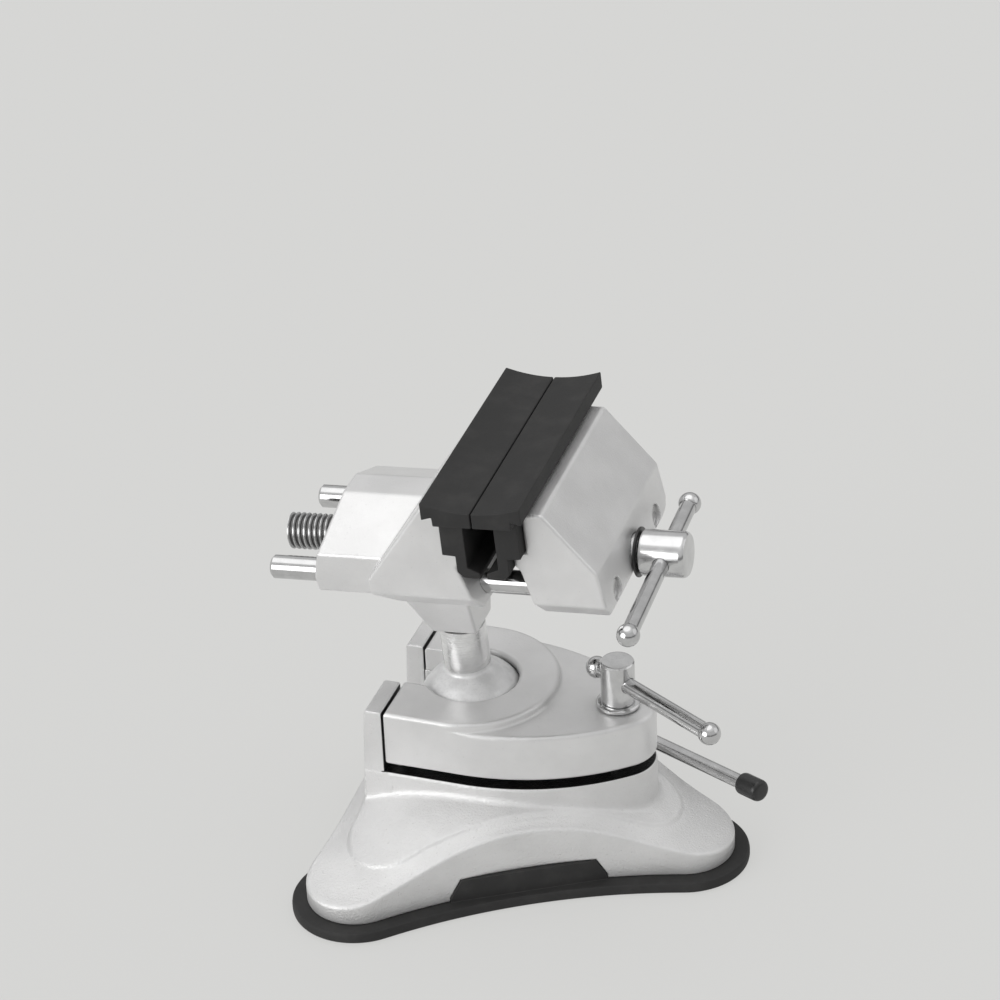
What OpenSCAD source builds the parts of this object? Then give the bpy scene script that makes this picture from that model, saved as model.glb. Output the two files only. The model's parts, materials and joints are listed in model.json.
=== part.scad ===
// Suction base vise: a three-lobed vacuum base, a ball joint held by a hinged clamp plate,
// and a two-rod screw vise with slip-on jaw covers.
// Origin: centre of the base on the table, +Z up, +X through the clamp screw and its lobe.

/* [Base] */
// Distance from the base centre to the centre of each lobe
lobe_reach = 51; // [47:1:58]
// Radius of the rubber pad round a lobe
pad_lobe_r = 17.2; // [15:0.2:20]
// Radius of the hollow sides of the pad, between two lobes
pad_side_r = 168; // [130:2:260]
// Thickness of the rubber pad
pad_t = 3; // [2.4:0.2:4]
// Width of pad that shows outside the casting
pad_rim = 4; // [2.5:0.5:6]
// Depth of the suction hollow under the pad
pad_hollow = 0.8; // [0.4:0.1:1.2]
// Length of each rubber tab in the side walls
tab_len = 42; // [30:1:48]
// Height of a tab above the pad
tab_h = 6.3; // [4:0.1:7]
// Wall of the base casting
shell_wall = 3; // [2:0.5:4]
// Height of the casting at its lobe ends
shell_low_z = 8.5; // [7.5:0.5:11]
// Height of the casting where it meets the pedestal
shell_high_z = 24; // [22:0.5:26]
// Height of the step round the upper deck
deck_step = 1.6; // [0.8:0.2:2.4]
// Distance from the base centre to the lobe centres of the upper deck
deck_reach = 38; // [34:1:41]
// Radius of the lobes of the upper deck
deck_lobe_r = 12; // [9:0.5:13]

/* [Ball joint] */
// Distance of the ball axis from the base centre, towards the posts
ball_offset = 7; // [5:0.5:9]
// Diameter of the ball
ball_d = 30; // [28:0.5:32]
// Height of the ball centre above the table
ball_z = 36.3; // [36:0.1:38]
// Diameter of the neck under the vise
neck_d = 12.4; // [10:0.2:14]
// Height of the neck's shoulder above the ball centre
neck_h = 27; // [24:0.5:30]
// Diameter of the spigot that enters the fixed jaw
spigot_d = 9; // [7:0.5:9.5]

/* [Clamp plate] */
// Half width of the clamp plate
plate_half_w = 24; // [22:0.5:26]
// Radius of the plate's narrow end
plate_tip_r = 10; // [9:0.5:11]
// Distance from the ball axis to the clamp screw
screw_reach = 40.3; // [38:0.1:43]
// Radius of the plate's bowed sides
plate_side_r = 64; // [58:1:80]
// Height of the plate from its skirt to its lower deck
plate_h = 13.4; // [12:0.2:14.4]
// Height of the raised round deck above the lower one
plate_step = 2.4; // [1.6:0.2:3]
// Wall of the plate's skirt
plate_wall = 3; // [2:0.5:4]
// Diameter of the hole over the ball
hole_d = 25; // [24:0.5:26]
// Width of the slot that lets the neck lie down between the posts
slot_w = 17; // [14:0.5:19]
// Gap between the pedestal and the plate's skirt
plate_gap = 2.8; // [2:0.2:4]
// Thickness of the posts
post_t = 6.3; // [5:0.1:8]
// Diameter of the clamp screw's thread
clamp_d = 8; // [6:1:8]
// Diameter of the clamp screw's head
clamp_head_d = 9; // [8.6:0.2:11]
// Height of the clamp screw's head
clamp_head_h = 13.2; // [11:0.2:15]

/* [Suction cam] */
// Height of the cam shaft above the table
cam_z = 13.5; // [13:0.1:14]
// Diameter of the cam shaft
cam_d = 7; // [6:0.5:7.5]
// Throw of the eccentric
cam_throw = 1; // [0.6:0.1:1.2]
// Diameter of the pad's lifting stud
stud_d = 10.9; // [10:0.1:11.5]
// Diameter of the lever
lever_d = 3.9; // [3:0.1:4.4]
// Length of the lever from its shaft to the end of its cap
lever_len = 58; // [50:1:62]
// Angle of the lever above the table, as it lies
lever_rise = 6; // [3:1:10]
// Diameter of the lever's cap
cap_d = 6; // [5:0.2:7]
// Length of the lever's cap
cap_len = 12.5; // [10:0.5:16]

/* [Vise] */
// Lean of the neck in its seat, towards the posts, as the vise was left
stem_lean = 4.5; // [0:0.5:10]
// Turn of the vise about the neck, as it was left
head_yaw = 1.2; // [-10:0.2:10]
// Height of the guide rods above the ball centre
rod_h = 52; // [50:0.5:56]
// Distance between the two guide rods
rod_gap = 36.6; // [34:0.2:38]
// Diameter of a guide rod
rod_d = 6.2; // [5:0.2:7]
// Length of a guide rod
rod_len = 92; // [88:1:98]
// Diameter of the lead screw
lead_d = 10; // [8:1:10]
// Width of the jaw castings
jaw_w = 57; // [54:1:64]
// Width of the jaw covers
cover_w = 72; // [66:1:78]
// Distance from the neck axis to the seam between the jaws
seam_u = 20.4; // [19:0.2:22]
// Height of the jaw castings above the guide rods
jaw_h = 26; // [25:0.5:29]
// Thickness of a jaw cover
cover_t = 13; // [12:0.5:15]
// Diameter of the lead screw's head
lead_head_d = 12; // [11:0.5:13]
// Length of the lead screw's head
lead_head_len = 12.6; // [11:0.2:15]
// Diameter of a tommy bar
bar_d = 4; // [3:0.1:4.4]
// Distance between the knobs of the main tommy bar
bar_len = 60; // [50:1:64]
// Distance between the knobs of the clamp screw's tommy bar
clamp_bar_len = 42.4; // [38:0.2:50]
// Diameter of a tommy bar's knob
knob_d = 6.3; // [5.4:0.1:7]

/* [Fits] */
// Radial clearance of a shaft or rod in its bore
fit = 0.05; // [0.03:0.01:0.1]
// Gap between pieces that move past one another
gap = 0.3; // [0.2:0.05:0.4]

/* [Hidden] */
$fn = 72;
casting = "#c9cbcc";
machined = "#dcdddf";
chrome = "#b9bcc0";
steel = "#8d9094";
rubber = "#3a3a3b";
plastic = "#1f2022";
eps = 0.01;

// The pad and the casting share their lobe centres and side centres.
side_c = lobe_reach / 2 + sqrt(pow(pad_side_r + pad_lobe_r, 2) - pow(lobe_reach * sqrt(3) / 2, 2));
metal_lobe_r = pad_lobe_r - pad_rim;
metal_side_r = pad_side_r + pad_rim;
wall_s = side_c - metal_side_r;
deck_side_s = wall_s - 4;
deck_side_r = (pow(deck_reach * sqrt(3) / 2, 2) + pow(deck_side_s - deck_reach / 2, 2) - pow(deck_lobe_r, 2))
    / (2 * (deck_lobe_r - deck_side_s + deck_reach / 2));
ball_x = -ball_offset;
ball_r = ball_d / 2;

// Plate heights follow the ball: the raised deck lies a little above the top of the seat.
ped_z = ball_z - 7.6;
skirt_z = ped_z + plate_gap;
deck_z = skirt_z + plate_h;
round_z = deck_z + plate_step;
tip_x = screw_reach;
side_cy = plate_side_r - plate_half_w;
side_cx = tip_x - sqrt(pow(plate_side_r - plate_tip_r, 2) - pow(side_cy, 2));
side_a = atan2(side_cy, tip_x - side_cx);
back_x = -16.4;
ledge_x = back_x + 3.2;
ledge_z = round_z - 7.4;
post_in_x = back_x - 0.6;
post_out_x = post_in_x - post_t;
clamp_bar_z = deck_z + gap + 1.2 + 6.4;

// The cam shaft is square to the far side wall and passes over the base centre.
cam_dir = 60;
hub_len = 9;
hub_s = wall_s + 2.6 + gap + hub_len / 2;
hub_d = lever_d + 6;
bearing_d = stud_d + 6;
stud_plate_z = pad_t + gap;

// Vise heights and places, measured from the rod axis and from the seam between the jaws.
seat_d = cover_t - 2.6;
jaw_low = -(rod_d / 2 + 1.4);
block_u = 49.9;
block_w = rod_gap + 9.6;
lead_face_d = 30.2;
lead_head_u = seam_u + lead_face_d + 0.8;
bar_angle = 2.7;

// Places the leaning stem: heights along the neck from the ball's centre.
module at_stem() {
  translate([ball_x, 0, ball_z])
    rotate([0, -stem_lean, 0])
      children();
}

// Places a vise piece: u along +X from the neck axis, heights from the rod axis.
module at_head() {
  at_stem()
    rotate([0, 0, head_yaw])
      translate([0, 0, rod_h])
        children();
}

// Turns the local X axis along the cam shaft, at shaft height.
module at_cam() {
  translate([0, 0, cam_z])
    rotate([0, 0, cam_dir])
      children();
}

// A straight round bar along X, from x0 to x1.
module bar_x(d, x0, x1) {
  translate([x0, 0, 0])
    rotate([0, 90, 0])
      cylinder(d = d, h = x1 - x0);
}

// A round bar along X with small chamfers at both ends.
module chamfered_bar(d, x0, x1, c) {
  translate([x0, 0, 0])
    rotate([0, 90, 0])
      rotate_extrude()
        polygon([[0, 0], [d / 2 - c, 0], [d / 2, c], [d / 2, x1 - x0 - c], [d / 2 - c, x1 - x0], [0, x1 - x0]]);
}

// Outline of three round lobes joined by hollow sides; every curve is a true arc.
module tri_outline(reach, r, side_r) {
  c = reach / 2 + sqrt(pow(side_r + r, 2) - pow(reach * sqrt(3) / 2, 2));
  difference() {
    union() {
      for (k = [0:2])
        rotate(120 * k)
          translate([reach, 0])
            circle(r = r);
      polygon([for (k = [0:2]) each lobe_cheeks(reach, 0.98 * r, c, 120 * k)]);
    }
    for (k = [0:2])
      rotate(60 + 120 * k)
        translate([c, 0])
          circle(r = side_r + 0.05, $fn = 360);
  }
}

// The two points of a lobe that face its neighbours' side centres, turned by a.
function lobe_cheeks(reach, r, c, a) =
  let (s = [c * cos(60) - reach, c * sin(60)], n = s / norm(s))
  [turned([reach + r * n.x, -r * n.y], a), turned([reach + r * n.x, r * n.y], a)];

function turned(p, a) = [p.x * cos(a) - p.y * sin(a), p.x * sin(a) + p.y * cos(a)];

module tri_prism(reach, r, side_r, h) {
  linear_extrude(h)
    tri_outline(reach, r, side_r);
}

// Bell-shaped top of the casting: heights at four radii, between the low lobes and the pedestal.
bell_r = [22, 34, 50, 68];
bell_f = [1, 0.755, 0.24, -0.08];
function bell_z(k) = shell_low_z + (shell_high_z - shell_low_z) * bell_f[k];

// The bell as a solid of revolution, raised by dz, cut off at top_z, its seam turned aside.
module bell(dz, top_z, seam) {
  rotate([0, 0, seam])
    rotate_extrude($fn = 96)
      polygon(concat([[0, -1], [0, min(top_z, shell_high_z + 0.4 + dz)]],
                     [for (k = [0:3]) [bell_r[k], min(top_z, bell_z(k) + dz)]],
                     [[bell_r[3], -1]]));
}

// Outline of the clamp plate and pedestal, from the ball axis, drawn in by i.
function egg(i, x0) = concat(
  [[x0, -plate_half_w + i], [side_cx, -plate_half_w + i]],
  [for (k = [1:6]) let (a = -90 + (90 - side_a) * k / 6) [side_cx + (plate_side_r - i) * cos(a), side_cy + (plate_side_r - i) * sin(a)]],
  [for (k = [1:13]) let (a = -side_a + 2 * side_a * k / 14) [tip_x + (plate_tip_r - i) * cos(a), (plate_tip_r - i) * sin(a)]],
  [for (k = [6:-1:1]) let (a = -90 + (90 - side_a) * k / 6) [side_cx + (plate_side_r - i) * cos(a), -side_cy - (plate_side_r - i) * sin(a)]],
  [[side_cx, plate_half_w - i], [x0, plate_half_w - i]]);

// Outline of the raised round deck of the plate.
function round_deck(x0) = concat(
  [[x0, -plate_half_w]],
  [for (k = [0:24]) let (a = -90 + 180 * k / 24) [(plate_half_w - 0.8) * cos(a), plate_half_w * sin(a)]],
  [[x0, plate_half_w]]);

// ---- base ----

// One post: upright with a ledge on which the tail of the clamp plate rocks.
module post(side) {
  y0 = slot_w / 2 + gap;
  w = plate_half_w - y0;
  shelf = w - plate_wall - 0.8;
  translate([0, side > 0 ? plate_half_w : -y0, 0])
    rotate([90, 0, 0])
      linear_extrude(w)
        polygon([[post_out_x - 1, 12], [post_in_x + 1.5, 12], [post_in_x + 1.5, ped_z - 1], [post_in_x, ped_z],
                 [post_in_x, round_z - 0.4], [post_in_x - 0.4, round_z], [post_out_x + 0.8, round_z],
                 [post_out_x, round_z - 0.8]]);
  translate([post_in_x - 1, side > 0 ? y0 : -y0 - shelf, ped_z - 1])
    cube([ledge_x - post_in_x + 1, shelf, ledge_z - ped_z + 1]);
}

module base_shell() {
  translate([0, 0, pad_t])
    intersection() {
      tri_prism(lobe_reach, metal_lobe_r, metal_side_r, 30);
      translate([0, 0, -pad_t])
        bell(0, 40, 7);
    }
  intersection() {
    translate([0, 0, pad_t + 2])
      tri_prism(deck_reach, deck_lobe_r, deck_side_r, 30);
    bell(deck_step, 40, 19);
  }
}

module base_hollow() {
  intersection() {
    translate([0, 0, -1])
      tri_prism(lobe_reach, metal_lobe_r - shell_wall, metal_side_r + shell_wall, 40);
    bell(-shell_wall, cam_z + 4.8, 31);
  }
}

// Bosses inside the shell: the stud guide with its shaft bearings, the wall bearing and the screw boss.
module base_bosses() {
  translate([0, 0, 8])
    cylinder(d = bearing_d, h = ped_z - 12);
  at_cam() {
    bar_x(cam_d + 5, wall_s - 6, wall_s + 2.6);
    bar_x(cam_d + 5, -bearing_d / 2 - 1.5, bearing_d / 2 + 1.5);
  }
  translate([ball_x + screw_reach, 0, 9])
    cylinder(d = clamp_d + 5, h = 10);
}

module base_casting() {
  color(casting)
    difference() {
      union() {
        difference() {
          union() {
            base_shell();
            translate([ball_x, 0, 14])
              linear_extrude(ped_z - 14)
                polygon(egg(0, post_out_x - 0.5));
          }
          base_hollow();
        }
        base_bosses();
        translate([ball_x, 0, 0]) {
          post(1);
          post(-1);
        }
      }
      translate([ball_x, 0, ball_z])
        sphere(r = ball_r + fit, $fn = 96);
      translate([0, 0, -1])
        cylinder(d = stud_d + 2 * fit, h = cam_z + 2 * cam_throw + 6.8);
      at_cam() {
        bar_x(cam_d + 2 * fit, -bearing_d / 2 - 3, hub_s);
        bar_x(cam_d + 5.4, -bearing_d / 2 - 5, -bearing_d / 2 - 1.5);
      }
      translate([ball_x + screw_reach, 0, 8])
        cylinder(d = clamp_d + 2 * fit, h = 30);
      tab_row(gap / 2);
    }
}

// The three rubber tabs, grown by g to cut their notches in the casting.
module tab_row(g) {
  for (k = [0:2])
    rotate([0, 0, 60 + 120 * k])
      intersection() {
        translate([0, 0, pad_t - eps])
          difference() {
            rotate([0, 0, -60])
              tri_prism(lobe_reach, metal_lobe_r + g, metal_side_r - g, tab_h + 1);
            translate([0, 0, -1])
              rotate([0, 0, -60])
                tri_prism(lobe_reach, metal_lobe_r - 2 - g, metal_side_r + 2 + g, tab_h + 3);
          }
        translate([wall_s - 12, 0, pad_t - eps])
          rotate([90, 0, 90])
            linear_extrude(24)
              polygon([[-tab_len / 2 - g, -1], [tab_len / 2 + g, -1], [tab_len / 2 + g, 2],
                       [tab_len / 2 - 3 + g, tab_h + g], [-tab_len / 2 + 3 - g, tab_h + g], [-tab_len / 2 - g, 2]]);
      }
}

module suction_pad() {
  color(rubber)
    union() {
      difference() {
        tri_prism(lobe_reach, pad_lobe_r, pad_side_r, pad_t);
        translate([0, 0, -1])
          tri_prism(lobe_reach, pad_lobe_r - 6, pad_side_r + 6, pad_hollow + 1);
      }
      tab_row(0);
    }
}

// Stud that the eccentric lifts, with the round plate that carries the pad's centre.
module pad_stud() {
  slot_h = stud_slot_h();
  color(steel)
    difference() {
      union() {
        translate([0, 0, stud_plate_z])
          cylinder(d = 26, h = 1.8);
        translate([0, 0, stud_plate_z])
          cylinder(d = stud_d, h = cam_z - cam_throw + slot_h / 2 + 1.3 - stud_plate_z);
      }
      translate([0, 0, cam_z - cam_throw])
        rotate([0, 0, cam_dir])
          cube([stud_d + 2, cam_journal_d() + 2 * cam_throw + 2 * gap, slot_h], center = true);
    }
}

function cam_journal_d() = cam_d - 2 * cam_throw;

function stud_slot_h() = cam_journal_d() + 2 * gap + 0.5 * cam_throw;

// Shaft with its eccentric journal inside the stud and its hub outside the wall.
module cam_shaft() {
  color(chrome)
    at_cam()
      difference() {
        union() {
          bar_x(cam_d, -bearing_d / 2 - 3, -stud_d / 2 - gap);
          translate([0, 0, -cam_throw])
            bar_x(cam_journal_d(), -stud_d / 2 - gap - eps, stud_d / 2 + gap + eps);
          bar_x(cam_d, stud_d / 2 + gap, hub_s - hub_len / 2 + eps);
          chamfered_bar(hub_d, hub_s - hub_len / 2, hub_s + hub_len / 2, 0.6);
        }
        lever_place()
          bar_x(lever_d + 2 * fit, -hub_d, hub_d);
        translate([-bearing_d / 2 - 2.6, 0, 0])
          rotate([0, 90, 0])
            ring(cam_d + 1, cam_d - 1.2, 1);
      }
}

// A flat ring, hollow side of diameter d0.
module ring(d1, d0, h) {
  difference() {
    cylinder(d = d1, h = h);
    translate([0, 0, -1])
      cylinder(d = d0, h = h + 2);
  }
}

// Retaining clip in the groove at the shaft's inner end.
module cam_clip() {
  color(steel)
    at_cam()
      translate([-bearing_d / 2 - 2.55, 0, 0])
        rotate([0, 90, 0])
          difference() {
            ring(cam_d + 3, cam_d - 1.1, 0.9);
            translate([0, cam_d / 2, 0])
              cube([2.4, cam_d, 4], center = true);
          }
}

// Local X along the lever, from the shaft's axis.
module lever_place() {
  translate([hub_s, 0, 0])
    rotate([0, 0, -90])
      rotate([0, -lever_rise, 0])
        children();
}

module lever_rod() {
  color(chrome)
    at_cam()
      lever_place()
        chamfered_bar(lever_d, -hub_d / 2 - 0.8, lever_len - 3, 0.4);
}

module lever_cap() {
  color(plastic)
    at_cam()
      lever_place()
        rotate([0, 90, 0])
          rotate_extrude()
            polygon(concat([[lever_d / 2, lever_len - cap_len], [cap_d / 2 - 0.3, lever_len - cap_len]],
                           [[cap_d / 2, lever_len - cap_len + 0.4]],
                           [for (k = [0:5]) [cap_d / 2 - 1 + cos(18 * k), lever_len - 1 + sin(18 * k)]],
                           [[0, lever_len], [0, lever_len - 3], [lever_d / 2, lever_len - 3]]));
}

// ---- ball clamp ----

module clamp_plate() {
  color(casting)
    translate([ball_x, 0, 0])
      difference() {
        union() {
          translate([0, 0, skirt_z])
            linear_extrude(plate_h)
              polygon(egg(0, back_x));
          translate([0, 0, skirt_z + 1])
            linear_extrude(round_z - skirt_z - 1)
              polygon(round_deck(back_x));
        }
        difference() {
          translate([0, 0, skirt_z - 1])
            linear_extrude(deck_z - 3.4 - skirt_z + 1)
              polygon(egg(plate_wall, back_x + plate_wall));
          translate([0, 0, ball_z + gap])
            cylinder(r = ball_r + 3, h = 20);
          translate([screw_reach, 0, skirt_z + 3])
            cylinder(d = clamp_d + 9, h = 20);
        }
        translate([back_x - 1, -plate_half_w + plate_wall + 0.5, skirt_z - 1])
          cube([ledge_x - back_x + 1 + gap, 2 * (plate_half_w - plate_wall - 0.5), ledge_z - skirt_z + 1 + gap]);
        translate([0, 0, ball_z])
          sphere(r = ball_r + gap, $fn = 96);
        translate([0, 0, ball_z])
          cylinder(d = hole_d, h = 30);
        translate([0, 0, round_z - 0.8])
          cylinder(d1 = hole_d, d2 = hole_d + 2, h = 1);
        translate([-60, -slot_w / 2, skirt_z - 2])
          cube([60, slot_w, 40]);
        translate([screw_reach, 0, skirt_z - 2])
          cylinder(d = clamp_d + 1.4, h = 30);
      }
}

module at_clamp() {
  translate([ball_x + screw_reach, 0, deck_z + gap])
    children();
}

module clamp_washer() {
  color(chrome)
    at_clamp()
      rotate_extrude()
        polygon([[clamp_d / 2 + fit, 0], [7, 0], [7, 0.8], [6.6, 1.2], [clamp_d / 2 + fit, 1.2]]);
}

module clamp_screw() {
  color(chrome)
    at_clamp()
      difference() {
        rotate_extrude()
          polygon([[0, 13 - deck_z], [clamp_d / 2 - 1, 13 - deck_z], [clamp_d / 2, 14 - deck_z], [clamp_d / 2, 1.2],
                   [clamp_head_d / 2, 1.2], [clamp_head_d / 2, 0.7 + clamp_head_h], [clamp_head_d / 2 - 0.5, 1.2 + clamp_head_h],
                   [0, 1.2 + clamp_head_h]]);
        translate([0, 0, clamp_bar_z - deck_z - gap])
          clamp_turn()
            bar_x(bar_d + 2 * fit, -clamp_head_d, clamp_head_d);
      }
}

// Direction of the clamp screw's tommy bar, as it lies.
clamp_bar_a = -30.5;
clamp_bar_shift = 13.2;
module clamp_turn() {
  rotate([0, 0, clamp_bar_a])
    children();
}

// A tommy bar's rod, centred, along X.
module tommy_rod(len) {
  bar_x(bar_d, -len / 2, len / 2);
}

// Its two knobs, each bored for the end of the rod.
module tommy_knobs(len) {
  for (s = [-1, 1])
    translate([s * len / 2, 0, 0])
      rotate([0, 90 * s, 0])
        rotate_extrude()
          intersection() {
            polygon([[bar_d / 2, -knob_d], [knob_d, -knob_d], [knob_d, knob_d], [0, knob_d], [0, 0], [bar_d / 2, 0]]);
            circle(d = knob_d);
          }
}

module clamp_bar() {
  color(chrome)
    translate([ball_x + screw_reach, 0, clamp_bar_z])
      clamp_turn()
        translate([clamp_bar_shift, 0, 0])
          tommy_rod(clamp_bar_len);
}

module clamp_knobs() {
  color(chrome)
    translate([ball_x + screw_reach, 0, clamp_bar_z])
      clamp_turn()
        translate([clamp_bar_shift, 0, 0])
          tommy_knobs(clamp_bar_len);
}

// Ball, neck and spigot in one turned piece.
module ball_stem() {
  a0 = asin(neck_d / ball_d);
  color(machined)
    at_stem()
      rotate_extrude($fn = 96)
        polygon(concat([for (k = [0:40]) let (a = 180 - (180 - a0) * k / 40) [ball_r * sin(a), ball_r * cos(a)]],
                       [[neck_d / 2, neck_h - 0.5], [neck_d / 2 - 0.5, neck_h], [spigot_d / 2, neck_h],
                        [spigot_d / 2, neck_h + 10.5], [spigot_d / 2 - 0.6, neck_h + 11], [0, neck_h + 11]]));
}

// ---- vise head ----

// Cuts the lower end corners off a jaw, so that its underside is narrower than its top.
module jaw_end_cut() {
  rotate([90, 0, 90])
    linear_extrude(200, center = true)
      polygon([[-jaw_w / 2, jaw_h + 20], [-jaw_w / 2, 0.2], [-jaw_w / 2 + 4.5, jaw_low - 0.01], [-jaw_w / 2 + 4.5, -60],
               [jaw_w / 2 - 4.5, -60], [jaw_w / 2 - 4.5, jaw_low - 0.01], [jaw_w / 2, 0.2], [jaw_w / 2, jaw_h + 20]]);
}

// End profile of a jaw casting in distances from the seam; outer holds its outside corners.
function jaw_profile(outer, low_in) = concat(
  [[seat_d, jaw_h], [seat_d, 15], [seat_d - 3.4, 14.8], [seat_d - 3.4, 11], [seat_d - 2, 9.6], [low_in, jaw_low]], outer);

module jaw_bar(outer, low_in) {
  rotate([90, 0, 0])
    linear_extrude(jaw_w, center = true)
      polygon(jaw_profile(outer, low_in));
}

// Bores for the two guide rods.
module rod_bores(x0, x1, c) {
  for (s = [-1, 1])
    translate([0, s * rod_gap / 2, 0])
      bar_x(rod_d + 2 * c, x0, x1);
}

// Ridged block behind the fixed jaw: it carries the nut thread and the ends of the rods.
module rear_block() {
  rotate([90, 0, 90])
    translate([0, 0, seam_u - block_u])
      linear_extrude(block_u - seat_d - 8)
        polygon([[-21.5, jaw_low], [21.5, jaw_low], [block_w / 2, 1.5], [block_w / 2, 7.5], [4.8, 15.6],
                 [-4.8, 15.6], [-block_w / 2, 7.5], [-block_w / 2, 1.5]]);
}

// Tapered leg from the jaw down to the neck's shoulder.
module jaw_leg() {
  z0 = neck_h + gap - rod_h;
  hull() {
    translate([-neck_d / 2, -neck_d / 2, z0])
      cube([neck_d, neck_d, 0.6]);
    translate([-15, -13, jaw_low - 0.2])
      cube([21.5, 26, 0.4]);
  }
}

module fixed_jaw() {
  color(casting)
    at_head()
      difference() {
        union() {
          intersection() {
            translate([seam_u, 0, 0])
              mirror([1, 0, 0])
                jaw_bar([[26.5, jaw_low], [32.6, -1], [33, 4], [16.4, jaw_h]], 3.6);
            jaw_end_cut();
          }
          rear_block();
          jaw_leg();
        }
        translate([seam_u - block_u, 0, 0])
          rotate([0, 12.5, 0])
            translate([-8, -50, -20])
              cube([8, 100, 60]);
        rod_bores(seam_u - block_u - 1, seam_u, fit);
        bar_x(lead_d + 2 * fit, seam_u - block_u - 1, seam_u);
        translate([0, 0, neck_h - rod_h - 1])
          cylinder(d = spigot_d + 2 * fit, h = 12.6);
      }
}

// Half section of a jaw cover: concave top, overhanging lip, and a foot that sits on the jaw's ledge.
function cover_section() = concat(
  [for (k = [0:6]) let (d = gap / 2 + (cover_t - gap / 2) * k / 6) [d, jaw_h + 3.8 + 2.2 * pow(k / 6, 2)]],
  [[cover_t, jaw_h + 1.2], [seat_d - 0.1, jaw_h + 2], [seat_d - 0.1, 15.1], [seat_d - 3.5, 14.9], [seat_d - 3.5, 11.2],
   [4, 11.2], [4, jaw_h - 2], [gap / 2, jaw_h - 0.4]]);

// The part of the section inside the jaw's width.
module cover_bar() {
  rotate([90, 0, 0]) {
    linear_extrude(jaw_w + 7, center = true)
      polygon(cover_section());
    linear_extrude(cover_w, center = true)
      intersection() {
        polygon(cover_section());
        translate([-1, jaw_h - 0.4])
          square([40, 30]);
      }
  }
}

module fixed_cover() {
  color(rubber)
    at_head()
      translate([seam_u, 0, 0])
        mirror([1, 0, 0])
          cover_bar();
}

module moving_cover() {
  color(rubber)
    at_head()
      translate([seam_u, 0, 0])
        cover_bar();
}

module moving_jaw() {
  color(casting)
    at_head()
      difference() {
        intersection() {
          translate([seam_u, 0, 0])
            jaw_bar([[lead_face_d - 1, jaw_low], [lead_face_d, -2], [28.3, 10], [15.6, jaw_h]], 12);
          jaw_end_cut();
        }
        rod_bores(seam_u, seam_u + rod_end_d(), 0);
        rod_bores(seam_u + rod_end_d() - eps, seam_u + 60, 0.15);
        bar_x(lead_d + 2 * fit, seam_u, seam_u + 60);
        bar_x(lead_d + 5, seam_u, clip_u() + 1.4);
      }
}

// The rods end in the moving jaw, a little below its outer face.
function rod_end_d() = 29;

module guide_rods() {
  color(chrome)
    at_head()
      for (s = [-1, 1])
        translate([0, s * rod_gap / 2, 0])
          chamfered_bar(rod_d, seam_u + rod_end_d() - rod_len, seam_u + rod_end_d(), 0.6);
}

// Lead screw with its cross-drilled head and the groove for its clip.
module lead_screw() {
  color(steel)
    at_head()
      difference() {
        union() {
          chamfered_bar(lead_d, -44, lead_head_u + 1, 1);
          chamfered_bar(lead_head_d, lead_head_u, lead_head_u + lead_head_len, 0.6);
        }
        translate([lead_bar_u(), 0, 0])
          lead_turn()
            bar_x(bar_d + 2 * fit, -lead_head_d, lead_head_d);
        translate([clip_u() - 0.05, 0, 0])
          rotate([0, 90, 0])
            ring(lead_d + 1, lead_d - 1.6, 1.2);
      }
}

function lead_bar_u() = lead_head_u + 6.5;

function clip_u() = seam_u + 11.4;

// Local X along the main tommy bar: across the vise, its far end a little up.
module lead_turn() {
  rotate([bar_angle, 0, 0])
    rotate([0, 0, 90])
      children();
}

module lead_washer() {
  color(plastic)
    at_head()
      translate([seam_u + lead_face_d + 0.1, 0, 0])
        rotate([0, 90, 0])
          ring(lead_head_d + 1, lead_d + 0.1, 0.7);
}

module lead_clip() {
  color(steel)
    at_head()
      translate([clip_u(), 0, 0])
        rotate([0, 90, 0])
          difference() {
            ring(lead_d + 4, lead_d - 1.5, 1.1);
            translate([lead_d / 2, 0, 0])
              cube([lead_d, 4, 4], center = true);
          }
}

// How far the main tommy bar has slid towards the near side.
lead_bar_shift = -6.4;

module lead_bar() {
  color(chrome)
    at_head()
      translate([lead_bar_u(), 0, 0])
        lead_turn()
          translate([lead_bar_shift, 0, 0])
            tommy_rod(bar_len);
}

module lead_knobs() {
  color(chrome)
    at_head()
      translate([lead_bar_u(), 0, 0])
        lead_turn()
          translate([lead_bar_shift, 0, 0])
            tommy_knobs(bar_len);
}

base_casting();
suction_pad();
pad_stud();
cam_shaft();
cam_clip();
lever_rod();
lever_cap();
clamp_plate();
clamp_washer();
clamp_screw();
clamp_bar();
clamp_knobs();
ball_stem();
fixed_jaw();
fixed_cover();
moving_jaw();
moving_cover();
guide_rods();
lead_screw();
lead_washer();
lead_clip();
lead_bar();
lead_knobs();
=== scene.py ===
"""A small suction base vise on its ball joint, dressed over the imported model.

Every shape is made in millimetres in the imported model's own frame and turned into metres when it
becomes a piece. Heads and jaws are placed from the neck's axis and the guide rods' height.
"""

from __future__ import annotations

import json  # noqa: E402
import logging  # noqa: E402
import math  # noqa: E402
from collections.abc import Callable, Sequence  # noqa: E402
from dataclasses import dataclass, field  # noqa: E402
from enum import Enum  # noqa: E402

import bmesh  # noqa: E402
import bpy  # noqa: E402
from mathutils import Matrix, Vector  # noqa: E402

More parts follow.
